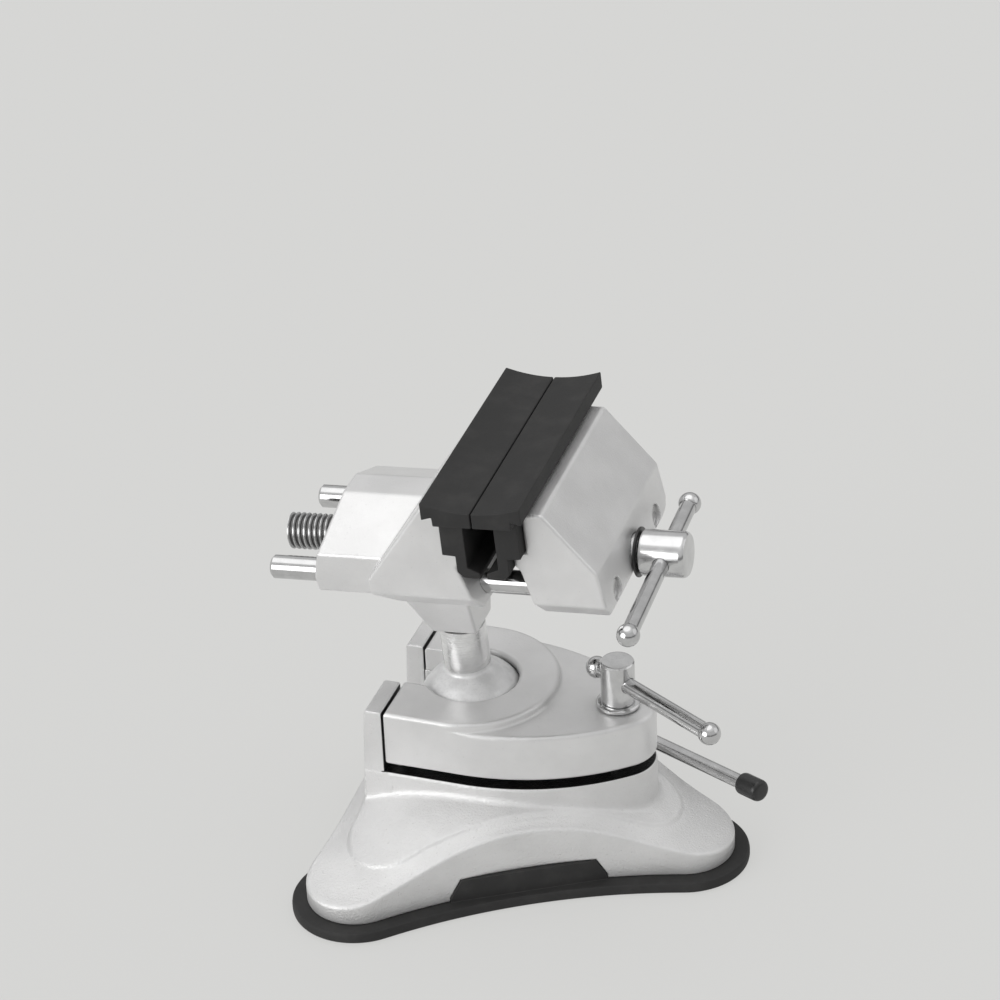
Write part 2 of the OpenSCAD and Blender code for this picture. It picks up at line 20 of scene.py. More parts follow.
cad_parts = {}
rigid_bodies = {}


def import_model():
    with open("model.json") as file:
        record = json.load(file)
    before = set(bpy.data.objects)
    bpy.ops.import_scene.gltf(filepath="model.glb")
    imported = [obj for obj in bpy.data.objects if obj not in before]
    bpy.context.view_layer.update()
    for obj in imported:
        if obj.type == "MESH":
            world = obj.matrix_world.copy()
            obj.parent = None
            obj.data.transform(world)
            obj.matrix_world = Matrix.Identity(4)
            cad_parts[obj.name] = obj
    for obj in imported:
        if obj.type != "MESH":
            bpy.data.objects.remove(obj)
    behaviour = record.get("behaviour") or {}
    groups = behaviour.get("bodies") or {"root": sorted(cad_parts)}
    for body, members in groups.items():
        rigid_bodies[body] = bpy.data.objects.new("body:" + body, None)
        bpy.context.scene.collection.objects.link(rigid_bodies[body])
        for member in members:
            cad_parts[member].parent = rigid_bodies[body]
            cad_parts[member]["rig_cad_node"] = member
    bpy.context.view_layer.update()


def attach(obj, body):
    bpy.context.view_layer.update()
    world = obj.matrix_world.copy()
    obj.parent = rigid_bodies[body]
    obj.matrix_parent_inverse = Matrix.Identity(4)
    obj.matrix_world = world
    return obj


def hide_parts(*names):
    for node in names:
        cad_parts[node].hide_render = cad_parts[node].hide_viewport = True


LOG = logging.getLogger("vise")
MM = 0.001
BALL_X = -7.0
BALL_Z = 36.3
ROD_Z = 88.3
SEAM_X = 13.4
SWELL = 0.35
CAM_TURN = 60.0
CAM_Z = 13.5
SIDES = (60.0, 180.0, 300.0)
CLAMP_BAR_TURN = 30.5
CROSS_HOLE = 2.25
Point = tuple[float, float]
Place = tuple[float, float, float]
Ring = Callable[[float], Point]
Values = dict[str | int, object]


def at(x: float, y: float, z: float) -> Matrix:
    """Return a move to a place."""
    return Matrix.Translation((x, y, z))


def spin(degrees: float, axis: str) -> Matrix:
    """Return a turn about an axis through the origin."""
    return Matrix.Rotation(math.radians(degrees), 4, axis)


AXIS_X = spin(90.0, "Y")
SEAT = at(BALL_X, 0.0, BALL_Z)
LEAN = SEAT @ spin(-4.5, "Y") @ SEAT.inverted()
POSE = LEAN @ SEAT @ spin(1.2, "Z") @ SEAT.inverted()
# How each body of the head stands at rest: the ball leans, and all that it carries also turns.
STANCE = {"ball": LEAN, "head": POSE, "slide_jaw": POSE, "lead": POSE, "lead_handle": POSE}


def linked(name: str, data: bpy.types.ID) -> bpy.types.Object:
    """Return a new object of the scene with this data."""
    made = bpy.data.objects.new(name, data)
    bpy.context.scene.collection.objects.link(made)
    return made


def level(radius: float, z: float) -> Ring:
    """Return a round and level ring."""
    return lambda a: (radius, z)


class Slot(Enum):
    """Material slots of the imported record."""

    CAST = "cast_silver"
    MACHINED = "machined"
    CHROME = "chrome"
    STEEL = "steel"
    BLACK = "black_plastic"
    RUBBER = "rubber"


# ---------------------------------------------------------------- shader graphs


class Wire:
    """One socket of a shader graph, with arithmetic that adds Math nodes."""

    def __init__(self, graph: Graph, socket: bpy.types.NodeSocket) -> None:
        """Keep the graph and the output socket."""
        self.graph = graph
        self.socket = socket

    def _math(self, operation: str, left: object, right: object = None) -> Wire:
        """Add a Math node.

        Args:
            operation: The node's operation.
            left: First value or wire.
            right: Second value or wire, if the operation takes one.

        Returns:
            The node's result.
        """
        values = {0: left} if right is None else {0: left, 1: right}
        return self.graph.node("Math", values, operation=operation)["Value"]

    def __add__(self, other: object) -> Wire:
        """Return self + other."""
        return self._math("ADD", self, other)

    def __radd__(self, other: object) -> Wire:
        """Return other + self."""
        return self._math("ADD", other, self)

    def __sub__(self, other: object) -> Wire:
        """Return self - other."""
        return self._math("SUBTRACT", self, other)

    def __rsub__(self, other: object) -> Wire:
        """Return other - self."""
        return self._math("SUBTRACT", other, self)

    def __mul__(self, other: object) -> Wire:
        """Return self * other."""
        return self._math("MULTIPLY", self, other)

    def __rmul__(self, other: object) -> Wire:
        """Return other * self."""
        return self._math("MULTIPLY", other, self)

    def root(self) -> Wire:
        """Return the square root."""
        return self._math("SQRT", self)

    def size(self) -> Wire:
        """Return the value without its sign."""
        return self._math("ABSOLUTE", self)

    def capped(self) -> Wire:
        """Return the value, at most 1."""
        return self._math("MINIMUM", self, 1.0)

    def ramp(self, low: float, high: float, start: float = 0.0, end: float = 1.0) -> Wire:
        """Map a range of this value smoothly to another.

        Args:
            low: Input where the result is start.
            high: Input where the result is end.
            start: Result at low.
            end: Result at high.

        Returns:
            The mapped and clamped value.
        """
        values = {"Value": self, "From Min": low, "From Max": high, "To Min": start, "To Max": end}
        return self.graph.node("MapRange", values, interpolation_type="SMOOTHSTEP")["Result"]


class Made:
    """A new node whose outputs are read by name as wires."""

    def __init__(self, graph: Graph, node: bpy.types.Node) -> None:
        """Keep the graph and the node."""
        self.graph = graph
        self.node = node

    def __getitem__(self, name: str) -> Wire:
        """Return the enabled output of that name."""
        for socket in self.node.outputs:
            if socket.name == name and socket.enabled:
                return Wire(self.graph, socket)
        raise KeyError(name)


class Graph:
    """A material's or a world's node tree, built one node at a time."""

    def __init__(self, tree: bpy.types.NodeTree) -> None:
        """Empty the tree and keep it."""
        tree.nodes.clear()
        self.tree = tree

    def node(self, kind: str, values: Values | None = None, **settings: str | int) -> Made:
        """Add a node.

        Args:
            kind: The node's type name, without the part that all shader nodes share.
            values: Input sockets by name or index, as numbers, colours or wires.
            **settings: Node attributes, set before its sockets.

        Returns:
            The node, with its outputs by name.
        """
        made = self.tree.nodes.new(f"ShaderNode{kind}")
        for name, setting in settings.items():
            setattr(made, name, setting)
        for key, value in (values or {}).items():
            if isinstance(key, int):
                socket = made.inputs[key]
            else:
                socket = next(s for s in made.inputs if s.name == key and s.enabled)
            if isinstance(value, Wire):
                self.tree.links.new(value.socket, socket)
            else:
                socket.default_value = value
        return Made(self, made)

    def blend(self, factor: Wire, low: object, high: object) -> Wire:
        """Mix two colours.

        Args:
            factor: 0 for low, 1 for high.
            low: Colour or wire.
            high: Colour or wire.

        Returns:
            The mixed colour.
        """
        values = {0: factor, 6: low, 7: high}
        return Wire(self, self.node("Mix", values, data_type="RGBA").node.outputs[2])

    def place(self, upright: bool = False) -> Wire:
        """Return the piece's own coordinates in metres, or those of the head before it leans and turns."""
        here = self.node("TexCoord")["Object"]
        if not upright:
            return here
        back = POSE.inverted()
        turn, move = tuple(back.to_euler("XYZ")), tuple(back.to_translation() * MM)
        return self.node("Mapping", {"Vector": here, "Rotation": turn, "Location": move})["Vector"]

    def stretched(self, scale: Place, turn: float = 0.0, upright: bool = False) -> Wire:
        """Return the piece's coordinates, turned about Z and then scaled by axis."""
        values = {"Vector": self.place(upright), "Rotation": (0.0, 0.0, turn)}
        turned = self.node("Mapping", values)["Vector"]
        return self.node("Mapping", {"Vector": turned, "Scale": scale})["Vector"]

    def axes(self, where: Wire) -> Made:
        """Return the X, Y and Z of a place."""
        return self.node("SeparateXYZ", {"Vector": where})

    def noise(self, where: Wire, scale: float, detail: float = 3.0, rough: float = 0.55) -> Wire:
        """Return a noise value of that scale at a place."""
        values = {"Vector": where, "Scale": scale, "Detail": detail, "Roughness": rough}
        return self.node("TexNoise", values)["Fac"]

    def worn_edges(self, radius: float, low: float, high: float) -> tuple[Wire, Wire]:
        """Find edges by comparing the rounded normal with the true one.

        Args:
            radius: Rounding radius in metres.
            low: Difference at which the mask starts.
            high: Difference at which the mask is full.

        Returns:
            The rounded normal and the edge mask.
        """
        soft = self.node("Bevel", {"Radius": radius}, samples=4)["Normal"]
        hard = self.node("NewGeometry")["Normal"]
        dot = self.node("VectorMath", {0: soft, 1: hard}, operation="DOT_PRODUCT")["Value"]
        return soft, (1.0 - dot).ramp(low, high)

    def bump(self, height: Wire, distance: float, strength: float = 1.0, normal: Wire | None = None) -> Wire:
        """Return a normal bumped by a height value."""
        values: Values = {"Height": height, "Distance": distance, "Strength": strength}
        if normal is not None:
            values["Normal"] = normal
        return self.node("Bump", values)["Normal"]

    def surface(self, tone: Wire, metal: float | Wire, rough: Wire, normal: Wire, shine: float = 0.5) -> None:
        """Add the main shader and the output."""
        values = {"Base Color": tone, "Metallic": metal, "Roughness": rough, "Normal": normal}
        shader = self.node("BsdfPrincipled", {**values, "Specular IOR Level": shine})["BSDF"]
        self.node("OutputMaterial", {"Surface": shader})


def blank(name: str) -> tuple[bpy.types.Material, Graph]:
    """Return a new material and its empty graph."""
    material = bpy.data.materials.new(name)
    material.use_nodes = True
    return material, Graph(material.node_tree)


def grey(value: float, warm: float = 0.0) -> tuple[float, float, float, float]:
    """Return an opaque grey, a little warmer if warm is above 0."""
    return (value * (1 + warm), value, value * (1 - warm), 1.0)


@dataclass(frozen=True)
class Look:
    """A finished material and the record's slot that it stands for."""

    material: bpy.types.Material
    slot: Slot


@dataclass(frozen=True)
class Finish:
    """A finish of one slot, which paints a new material."""

    name: str
    slot: Slot
    base: float
    rough: float

    def build(self) -> Look:
        """Return the painted material with its slot."""
        material, graph = blank(self.name)
        self.paint(graph)
        return Look(material, self.slot)

    def paint(self, graph: Graph) -> None:
        """Fill the material's graph."""
        raise NotImplementedError


@dataclass(frozen=True)
class CastSilver(Finish):
    """Cast aluminium under a thin silver lacquer: fine sandy grain, bright rubbed edges."""

    name: str = "cast_silver"
    slot: Slot = Slot.CAST
    base: float = 0.76
    rough: float = 0.34
    metal: float = 0.58
    grain: float = 1700.0
    sand_depth: float = 0.00009
    paints_gap_shade: bool = False

    def paint(self, graph: Graph) -> None:
        """Fill the material's graph."""
        here = graph.place()
        soft, edge = graph.worn_edges(0.0006, 0.015, 0.16)
        cloud = graph.noise(here, 70.0, 3.0)
        sand = graph.noise(here, self.grain, 4.0, 0.65)
        cells = graph.node("TexVoronoi", {"Vector": here, "Scale": 620.0})["Distance"]
        pits = cells.ramp(0.0, 0.16)
        tone = graph.blend(cloud.ramp(0.32, 0.68), grey(self.base * 0.93, 0.004), grey(self.base, 0.004))
        tone = graph.blend(sand.ramp(0.25, 0.75), graph.blend(pits, grey(self.base * 0.80), tone), tone)
        tone = graph.blend(edge * 0.7, tone, grey(0.90, 0.002))
        # painted shade: the gap under the clamp plate is darkened to near black
        if self.paints_gap_shade:
            tone = graph.blend(self.gap_shade_mask(graph, here), tone, grey(0.008))
        rough = self.rough + (cloud - 0.5) * 0.12 + (sand - 0.5) * 0.20 - edge * 0.10
        height = sand + pits * 0.5
        normal = graph.bump(height, self.sand_depth, 0.8, graph.bump(cloud, 0.0005, 0.12, soft))
        graph.surface(tone, self.metal, rough, normal)

    def gap_shade_mask(self, graph: Graph, here: Wire) -> Wire:
        """Return the mask of the near-black painted shade in the gap under the clamp plate, on the pedestal's rim
        and on the posts' inner faces.

        Args:
            graph: The material's graph.
            here: The piece's coordinates.

        Returns:
            1 where the shade is painted.
        """
        axes = graph.axes(here)
        x, z = axes["X"], axes["Z"]
        rim = z.ramp(0.02852, 0.02862) * z.ramp(0.0288, 0.0290, 1.0, 0.0) * x.ramp(-0.0250, -0.0246)
        inner = x.ramp(-0.02412, -0.02408) * x.ramp(-0.0239, -0.0238, 1.0, 0.0) * z.ramp(0.0286, 0.0290)
        return (rim + inner).capped()


@dataclass(frozen=True)
class TurnedSteel(Finish):
    """Bright turned metal with tool rings round the neck and a sandy ball under it."""

    name: str = "machined"
    slot: Slot = Slot.MACHINED
    base: float = 0.84
    rough: float = 0.24
    ring: float = 5200.0

    def paint(self, graph: Graph) -> None:
        """Fill the material's graph."""
        here = graph.place(True)
        rings = graph.noise(graph.stretched((0.02, 0.02, 1.0), upright=True), self.ring, 2.0)
        sand = graph.noise(here, 1500.0, 4.0, 0.7)
        smear = graph.noise(here, 160.0, 3.0)
        height = graph.axes(here)["Z"]
        ball = height.ramp(0.0505, 0.0515, 1.0, 0.0)
        grain = ball * sand + (1.0 - ball) * rings
        tone = graph.blend(smear.ramp(0.35, 0.7), grey(self.base * 0.90), grey(self.base * 1.08))
        tone = graph.blend(grain.ramp(0.2, 0.55), grey(self.base * 0.84), tone)
        rough = self.rough + (grain - 0.5) * 0.22 + ball * 0.16 + (smear - 0.5) * 0.10
        normal = graph.bump(ball * sand + (1.0 - ball) * rings * 0.2, 0.00009, 0.6)
        graph.surface(tone, 1.0 - ball * 0.62, rough, normal)


@dataclass(frozen=True)
class Chrome(Finish):
    """Bright plated bar stock with faint lengthwise draw marks and handling smears."""

    name: str = "chrome"
    slot: Slot = Slot.CHROME
    base: float = 0.62
    rough: float = 0.13
    turn: float = 0.0
    along: Place = (0.03, 1.0, 1.0)
    upright: bool = False

    def paint(self, graph: Graph) -> None:
        """Fill the material's graph."""
        draw = graph.noise(graph.stretched(self.along, self.turn, self.upright), 2600.0, 3.0)
        smear = graph.noise(graph.place(), 240.0, 4.0)
        tone = graph.blend(smear.ramp(0.3, 0.7), grey(self.base * 0.88), grey(self.base))
        tone = graph.blend(draw.ramp(0.55, 0.8) * 0.5, tone, grey(self.base * 0.72))
        rough = self.rough + (draw - 0.5) * 0.14 + smear.ramp(0.5, 0.8) * 0.08
        normal = graph.bump(draw, 0.00003, 0.35)
        graph.surface(tone, 1.0, rough, normal)


@dataclass(frozen=True)
class ThreadSteel(Finish):
    """Oiled screw steel, bright on the thread's crests, with painted shade darkening its roots."""

    name: str = "steel"
    slot: Slot = Slot.STEEL
    base: float = 0.56
    rough: float = 0.27
    root_r: float = 4.1
    crest_r: float = 4.7

    def paint(self, graph: Graph) -> None:
        """Fill the material's graph."""
        here = graph.place(True)
        axes = graph.axes(here)
        rise = axes["Z"] - ROD_Z * MM
        radius = (axes["Y"] * axes["Y"] + rise * rise).root()
        crest = radius.ramp(self.root_r * MM, self.crest_r * MM)
        grain = graph.noise(here, 1900.0, 3.0)
        stain = graph.noise(here, 300.0, 3.0)
        bright = graph.blend(stain.ramp(0.3, 0.7), grey(self.base * 0.85), grey(self.base * 1.1))
        # painted shade: the thread's roots turn near black, the crests keep the steel tone
        tone = graph.blend(crest, grey(0.16, 0.01), bright)
        rough = self.rough + (grain - 0.5) * 0.2 + (1.0 - crest) * 0.22
        normal = graph.bump(grain, 0.00003, 0.4)
        graph.surface(tone, 1.0, rough, normal)


@dataclass(frozen=True)
class Rubber(Finish):
    """Matt black moulded rubber with a dusty bloom and rubbed edges."""

    name: str = "rubber"
    slot: Slot = Slot.RUBBER
    base: float = 0.027
    rough: float = 0.66
    bloom: float = 0.040

    def paint(self, graph: Graph) -> None:
        """Fill the material's graph."""
        here = graph.place()
        soft, edge = graph.worn_edges(0.0004, 0.02, 0.2)
        skin = graph.noise(here, 2400.0, 3.0, 0.6)
        dust = graph.noise(here, 120.0, 5.0, 0.62)
        tone = graph.blend(dust.ramp(0.42, 0.78), grey(self.base, 0.01), grey(self.bloom, 0.02))
        tone = graph.blend(edge * 0.35, tone, grey(0.085, 0.01))
        rough = self.rough + (dust - 0.5) * 0.18 + (skin - 0.5) * 0.12
        normal = graph.bump(skin, 0.00004, 0.5, graph.bump(dust, 0.0003, 0.1, soft))
        graph.surface(tone, 0.0, rough, normal, 0.26)


@dataclass(frozen=True)
class BlackPlastic(Finish):
    """Dipped black plastic, smoother and glossier than the rubber, with a slight orange peel."""

    name: str = "black_plastic"
    slot: Slot = Slot.BLACK
    base: float = 0.014
    rough: float = 0.30

    def paint(self, graph: Graph) -> None:
        """Fill the material's graph."""
        here = graph.place()
        peel = graph.noise(here, 700.0, 2.0)
        scuff = graph.noise(here, 380.0, 5.0, 0.7)
        tone = graph.blend(scuff.ramp(0.55, 0.8), grey(self.base), grey(self.base * 2.2))
        rough = self.rough + scuff.ramp(0.45, 0.8) * 0.22
        normal = graph.bump(peel, 0.00008, 0.35)
        graph.surface(tone, 0.0, rough, normal)


@dataclass
class Finishes:
    """The finished materials, made once and shared by the pieces."""

    made: dict[str, Look] = field(default_factory=dict)

    def __post_init__(self) -> None:
        """Build every finish; bars that lie askew get draw marks along their own length."""
        for finish in (
            CastSilver(),
            # the base's casting gets painted shade in the gap under the clamp plate
            CastSilver(name="cast_silver_base", sand_depth=0.00026, paints_gap_shade=True),
            TurnedSteel(),
            Chrome(name="chrome_rods", upright=True),
            Chrome(name="chrome_clamp_bar", turn=math.radians(CLAMP_BAR_TURN)),
            Chrome(name="chrome_lever", turn=math.radians(90.0 - CAM_TURN)),
            Chrome(name="chrome_cross", along=(1.0, 0.03, 1.0), upright=True),
            Chrome(name="chrome_upright", along=(1.0, 1.0, 0.03), base=0.68, rough=0.19),
            Chrome(name="chrome_head", slot=Slot.STEEL, base=0.68, rough=0.17, upright=True),
            ThreadSteel(),
            Rubber(),
            BlackPlastic(),
        ):
            self.made[finish.name] = finish.build()

    def of(self, name: str) -> Look:
        """Return a finish by name."""
        return self.made[name]


# ---------------------------------------------------------------- forms


class Form:
    """A closed mesh in millimetres, shaped by bmesh operators."""

    def __init__(self) -> None:
        """Start empty."""
        self.bm = bmesh.new()

    @classmethod
    def turned(cls, profile: Sequence[Point], place: Matrix | None = None, steps: int = 64) -> Form:
        """Spin a profile about the local Z axis.

        Args:
            profile: Radius and height of each point; a closed ring where it doesn't touch the axis.
            place: Where the local frame goes.
            steps: Steps round the axis.

        Returns:
            The closed solid.
        """
        form = cls()
        verts = [form.bm.verts.new((r, 0.0, z)) for r, z in profile]
        pairs = list(zip(verts, verts[1:]))
        if profile[0][0] > 1e-6:
            pairs.append((verts[-1], verts[0]))
        edges = [form.bm.edges.new(p) for p in pairs]
        bmesh.ops.spin(form.bm, geom=verts + edges, cent=(0, 0, 0), axis=(0, 0, 1), angle=math.tau,
                       steps=steps, use_merge=True)
        return form.tidy(place)

    @classmethod
    def rod(cls, radius: float, low: float, high: float, place: Matrix | None, steps: int = 48) -> Form:
        """Return a plain cylinder along the local Z axis."""
        return cls.turned([(0, low), (radius, low), (radius, high), (0, high)], place, steps)

    @classmethod
    def prism(cls, outline: Sequence[Point], low: float, high: float, place: Matrix | None = None) -> Form:
        """Extrude a polygon along local Z.

        Args:
            outline: Corners in the local XY plane.
            low: Lower end.
            high: Upper end.
            place: Where the local frame goes.

        Returns:
            The closed solid.
        """
        form = cls()
        face = form.bm.faces.new([form.bm.verts.new((x, y, low)) for x, y in outline])
        made = bmesh.ops.extrude_face_region(form.bm, geom=[face])
        grown = [g for g in made["geom"] if isinstance(g, bmesh.types.BMVert)]
        bmesh.ops.translate(form.bm, verts=grown, vec=(0, 0, high - low))
        return form.tidy(place)

    @classmethod
    def loft(cls, rings: Sequence[Ring], count: int = 360, centre: Point = (0.0, 0.0),
             poles: Point | None = None) -> Form:
        """Extrude a ring of corners through rings given by angle.

        Args:
            rings: For each ring, radius and height by angle from the centre.
            count: Corners round a ring.
            centre: Centre of the rings.
            poles: Heights of the first and last pole, or None where the last ring meets the first.

        Returns:
            The closed solid.
        """
        form = cls()
        bm = form.bm
        ring = bmesh.ops.create_circle(bm, cap_ends=False, segments=count, radius=1.0)["verts"]
        bmesh.ops.translate(bm, verts=ring, vec=(centre[0], centre[1], 0))
        first = ring
        for index, shape in enumerate(rings):
            if index:
                inside = set(ring)
                edges = {e for v in ring for e in v.link_edges if inside.issuperset(e.verts)}
                made = bmesh.ops.extrude_edge_only(bm, edges=list(edges))
                ring = [g for g in made["geom"] if isinstance(g, bmesh.types.BMVert)]
            for v in ring:
                angle = math.atan2(v.co.y - centre[1], v.co.x - centre[0])
                radius, height = shape(angle)
                v.co = (centre[0] + radius * math.cos(angle), centre[1] + radius * math.sin(angle), height)
        if poles is not None:
            for end, height in ((first, poles[0]), (ring, poles[1])):
                bmesh.ops.pointmerge(bm, verts=end, merge_co=(centre[0], centre[1], height))
        return form.tidy(None)

    @classmethod
    def block(cls, low: Sequence[float], high: Sequence[float]) -> Form:
        """Return a box between two corners."""
        form = cls()
        verts = bmesh.ops.create_cube(form.bm, size=1.0)["verts"]
        for v in verts:
            v.co = Vector([high[i] if v.co[i] > 0 else low[i] for i in range(3)])
        return form

    @classmethod
    def tapered(cls, low: Sequence[float], z0: float, high: Sequence[float], z1: float) -> Form:
        """Return a block with a different rectangle at each end.

        Args:
            low: Lower rectangle as x0, x1, y0, y1.
            z0: Its height.
            high: Upper rectangle.
            z1: Its height.

        Returns:
            The closed solid.
        """
        form = cls()
        for v in bmesh.ops.create_cube(form.bm, size=1.0)["verts"]:
            side, z = (high, z1) if v.co.z > 0 else (low, z0)
            v.co = Vector((side[1] if v.co.x > 0 else side[0], side[3] if v.co.y > 0 else side[2], z))
        return form

    @classmethod
    def thread(cls, crest: float, root: float, pitch: float, low: float, high: float,
               steps: int = 36) -> Form:
        """Cut a right-hand V thread about local Z.

        Args:
            crest: Radius at the crests.
            root: Radius at the roots.
            pitch: Advance of one turn.
            low: Lower end.
            high: Upper end.
            steps: Steps of a turn.

        Returns:
            The closed solid with flat ends.
        """
        form = cls()
        bm = form.bm
        turns = int((high - low) / pitch) + 3
        rows = [(root, 0.0), (root, 0.12), (crest, 0.44), (crest, 0.56), (root, 0.88), (root, 1.0)]
        verts = [bm.verts.new((r, 0.0, low - pitch + pitch * t)) for r, t in rows]
        edges = [bm.edges.new(p) for p in zip(verts, verts[1:])]
        bmesh.ops.spin(bm, geom=verts + edges, cent=(0, 0, 0), axis=(0, 0, 1), angle=math.tau * turns,
                       steps=steps * turns, dvec=(0, 0, pitch / steps), use_merge=False)
        bmesh.ops.remove_doubles(bm, verts=bm.verts, dist=1e-3)
        for z, flip in ((low, -1), (high, 1)):
            form.part((0, 0, z), (0, 0, flip))
            rim = [e for e in bm.edges if e.is_boundary and all(abs(v.co.z - z) < 1e-3 for v in e.verts)]
            bmesh.ops.contextual_create(bm, geom=rim)
        return form.tidy(None)

    def tidy(self, place: Matrix | None) -> Form:
        """Merge doubles, turn faces outwards and move the form to its place.

        Args:
            place: Where the local frame goes, or None.

        Returns:
            The form itself.
        """
        bmesh.ops.remove_doubles(self.bm, verts=self.bm.verts, dist=1e-4)
        bmesh.ops.recalc_face_normals(self.bm, faces=self.bm.faces)
        if place is not None:
            bmesh.ops.transform(self.bm, matrix=place, verts=self.bm.verts)
        return self

    def soften(self, width: float, segments: int = 3, above: float = 22.0) -> Form:
        """Round the edges that turn by more than an angle.

        Args:
            width: Width of the rounding.
            segments: Steps across it.
            above: Least angle in degrees.

        Returns:
            The form itself.
        """

        def turning(least: float, most: float) -> list[bmesh.types.BMEdge]:
            paired = [e for e in self.bm.edges if len(e.link_faces) == 2]
            return [e for e in paired if least < e.calc_face_angle(0.0) < most]

        flat = turning(-1.0, math.radians(1.0))
        if flat:
            bmesh.ops.dissolve_edges(self.bm, edges=flat, use_verts=True)
        edges = turning(math.radians(above), math.tau)
        bmesh.ops.bevel(self.bm, geom=edges, offset=width, offset_type="OFFSET", segments=segments,
                        profile=0.5, affect="EDGES", material=-1, clamp_overlap=True)
        return self

    def part(self, point: Place, outward: Place) -> None:
        """Cut away what lies beyond a plane and leave the cut open."""
        everything = self.bm.verts[:] + self.bm.edges[:] + self.bm.faces[:]
        bmesh.ops.bisect_plane(self.bm, geom=everything, plane_co=point, plane_no=outward, clear_outer=True)

    def slice(self, point: Place, outward: Place) -> Form:
        """Cut away what lies beyond a plane and close the cut.

        Args:
            point: A point of the plane.
            outward: The plane's direction towards the part that goes.

        Returns:
            The form itself.
        """
        self.part(point, outward)
        bmesh.ops.holes_fill(self.bm, edges=[e for e in self.bm.edges if e.is_boundary], sides=0)
        return self.tidy(None)

    def moved(self, place: Matrix) -> Form:
        """Move the form and return it."""
        bmesh.ops.transform(self.bm, matrix=place, verts=self.bm.verts)
        return self

    def mirrored(self, axis: int, about: float) -> Form:
        """Mirror the form in a plane across an axis and return it."""
        for v in self.bm.verts:
            v.co[axis] = 2 * about - v.co[axis]
        bmesh.ops.reverse_faces(self.bm, faces=self.bm.faces)
        return self

    def join(self, *others: Form) -> Form:
        """Add the faces of other forms and return the form."""
        for other in others:
            carrier = bpy.data.meshes.new("carrier")
            other.bm.to_mesh(carrier)
            self.bm.from_mesh(carrier)
            bpy.data.meshes.remove(carrier)
        return self

    def _object(self) -> bpy.types.Object:
        """Return a passing object with this form's mesh."""
        mesh = bpy.data.meshes.new("passing")
        self.bm.to_mesh(mesh)
        return linked("passing", mesh)

    def combine(self, other: Form, operation: str = "DIFFERENCE", crossing: bool = False) -> Form:
        """Cut another form from this one, or unite them.

        Args:
            other: The other closed form.
            operation: DIFFERENCE or UNION.
            crossing: Whether this form's own faces may cross.

        Returns:
            The form itself with the result.
        """
        body, tool = self._object(), other._object()
        change = body.modifiers.new("change", "BOOLEAN")
        change.operation = operation
        change.solver = "EXACT"
        change.use_self = crossing
        change.object = tool
        bpy.context.view_layer.update()
        depsgraph = bpy.context.evaluated_depsgraph_get()
        result = bpy.data.meshes.new_from_object(body.evaluated_get(depsgraph))
        self.bm.free()
        self.bm = bmesh.new()
        self.bm.from_mesh(result)
        for thing in (body, tool):
            mesh = thing.data
            bpy.data.objects.remove(thing)
            bpy.data.meshes.remove(mesh)
        bpy.data.meshes.remove(result)
        bmesh.ops.remove_doubles(self.bm, verts=self.bm.verts, dist=2e-4)
        return self

    def piece(self, name: str, body: str, node: str, look: Look, sharp: float = 34.0) -> None:
        """Turn the form into a finished piece of the object.

        Args:
            name: The piece's name.
            body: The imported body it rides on.
            node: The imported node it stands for.
            look: Its finish and its slot of the record.
            sharp: Angle in degrees above which an edge shades sharp.
        """
        self.moved(Matrix.Scale(MM, 4) @ STANCE.get(body, Matrix.Identity(4)))
        for face in self.bm.faces:
            face.smooth = True
        for edge in self.bm.edges:
            edge.smooth = edge.calc_face_angle(0.0) < math.radians(sharp)
        open_edges = sum(1 for e in self.bm.edges if len(e.link_faces) != 2)
        mesh = bpy.data.meshes.new(name)
        self.bm.to_mesh(mesh)
        self.bm.free()
        made = linked(name, mesh)
        weight = made.modifiers.new("face_weights", "WEIGHTED_NORMAL")
        weight.keep_sharp = True
        mesh.materials.append(look.material)
        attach(made, body)
        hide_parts(node)
        LOG.info("%s: %d faces, %d open edges", name, len(mesh.polygons), open_edges)


def polar(outline: Sequence[Point], angle: float) -> float:
    """Return the distance to an outline along a ray from its local origin.

    Args:
        outline: Corners of a star-shaped polygon round the origin.
        angle: The ray's angle.

    Returns:
        The distance.
    """
    c, s = math.cos(angle), math.sin(angle)
    best = 0.0
    for (x0, y0), (x1, y1) in zip(outline, list(outline[1:]) + [outline[0]]):
        dx, dy = x1 - x0, y1 - y0
        det = c * -dy + dx * s
        if abs(det) < 1e-9:
            continue
        t = (x0 * -dy + dx * y0) / det
        k = (c * y0 - s * x0) / det
        if t > 0 and -1e-6 <= k <= 1 + 1e-6:
            best = max(best, t)
    return best


def around(outline: Sequence[Point], offset: float, z: float) -> Ring:
    """Return a level ring that follows an outline at a distance."""
    return lambda a: (polar(outline, a) + offset, z)


@dataclass(frozen=True)
class Lobes:
    """Outline of three round lobes joined by hollow sides."""

    reach: float
    lobe: float
    side: float

    @property
    def centre(self) -> float:
        """Distance of a side circle's centre."""
        return self.reach / 2 + math.sqrt((self.side + self.lobe) ** 2 - (self.reach * math.sqrt(3) / 2) ** 2)

    def at(self, angle: float) -> float:
        """Return the outline's distance from the middle at an angle."""
        a = abs((math.degrees(angle) + 60) % 120 - 60)
        t = math.radians(a)
        away = math.radians(60 - a)
        c = self.centre
        tx, ty = c * 0.5 - self.reach, c * math.sqrt(3) / 2
        n = math.hypot(tx, ty)
        touch = math.atan2(self.lobe * ty / n, self.reach + self.lobe * tx / n)
        if t < touch:
            rest = self.lobe**2 - (self.reach * math.sin(t)) ** 2
            return self.reach * math.cos(t) + math.sqrt(max(0.0, rest))
        return c * math.cos(away) - math.sqrt(self.side**2 - (c * math.sin(away)) ** 2)

    def ring(self, offset: float, z: float) -> Ring:
        """Return a level ring that follows the outline at a distance."""
        return lambda a: (self.at(a) + offset, z)


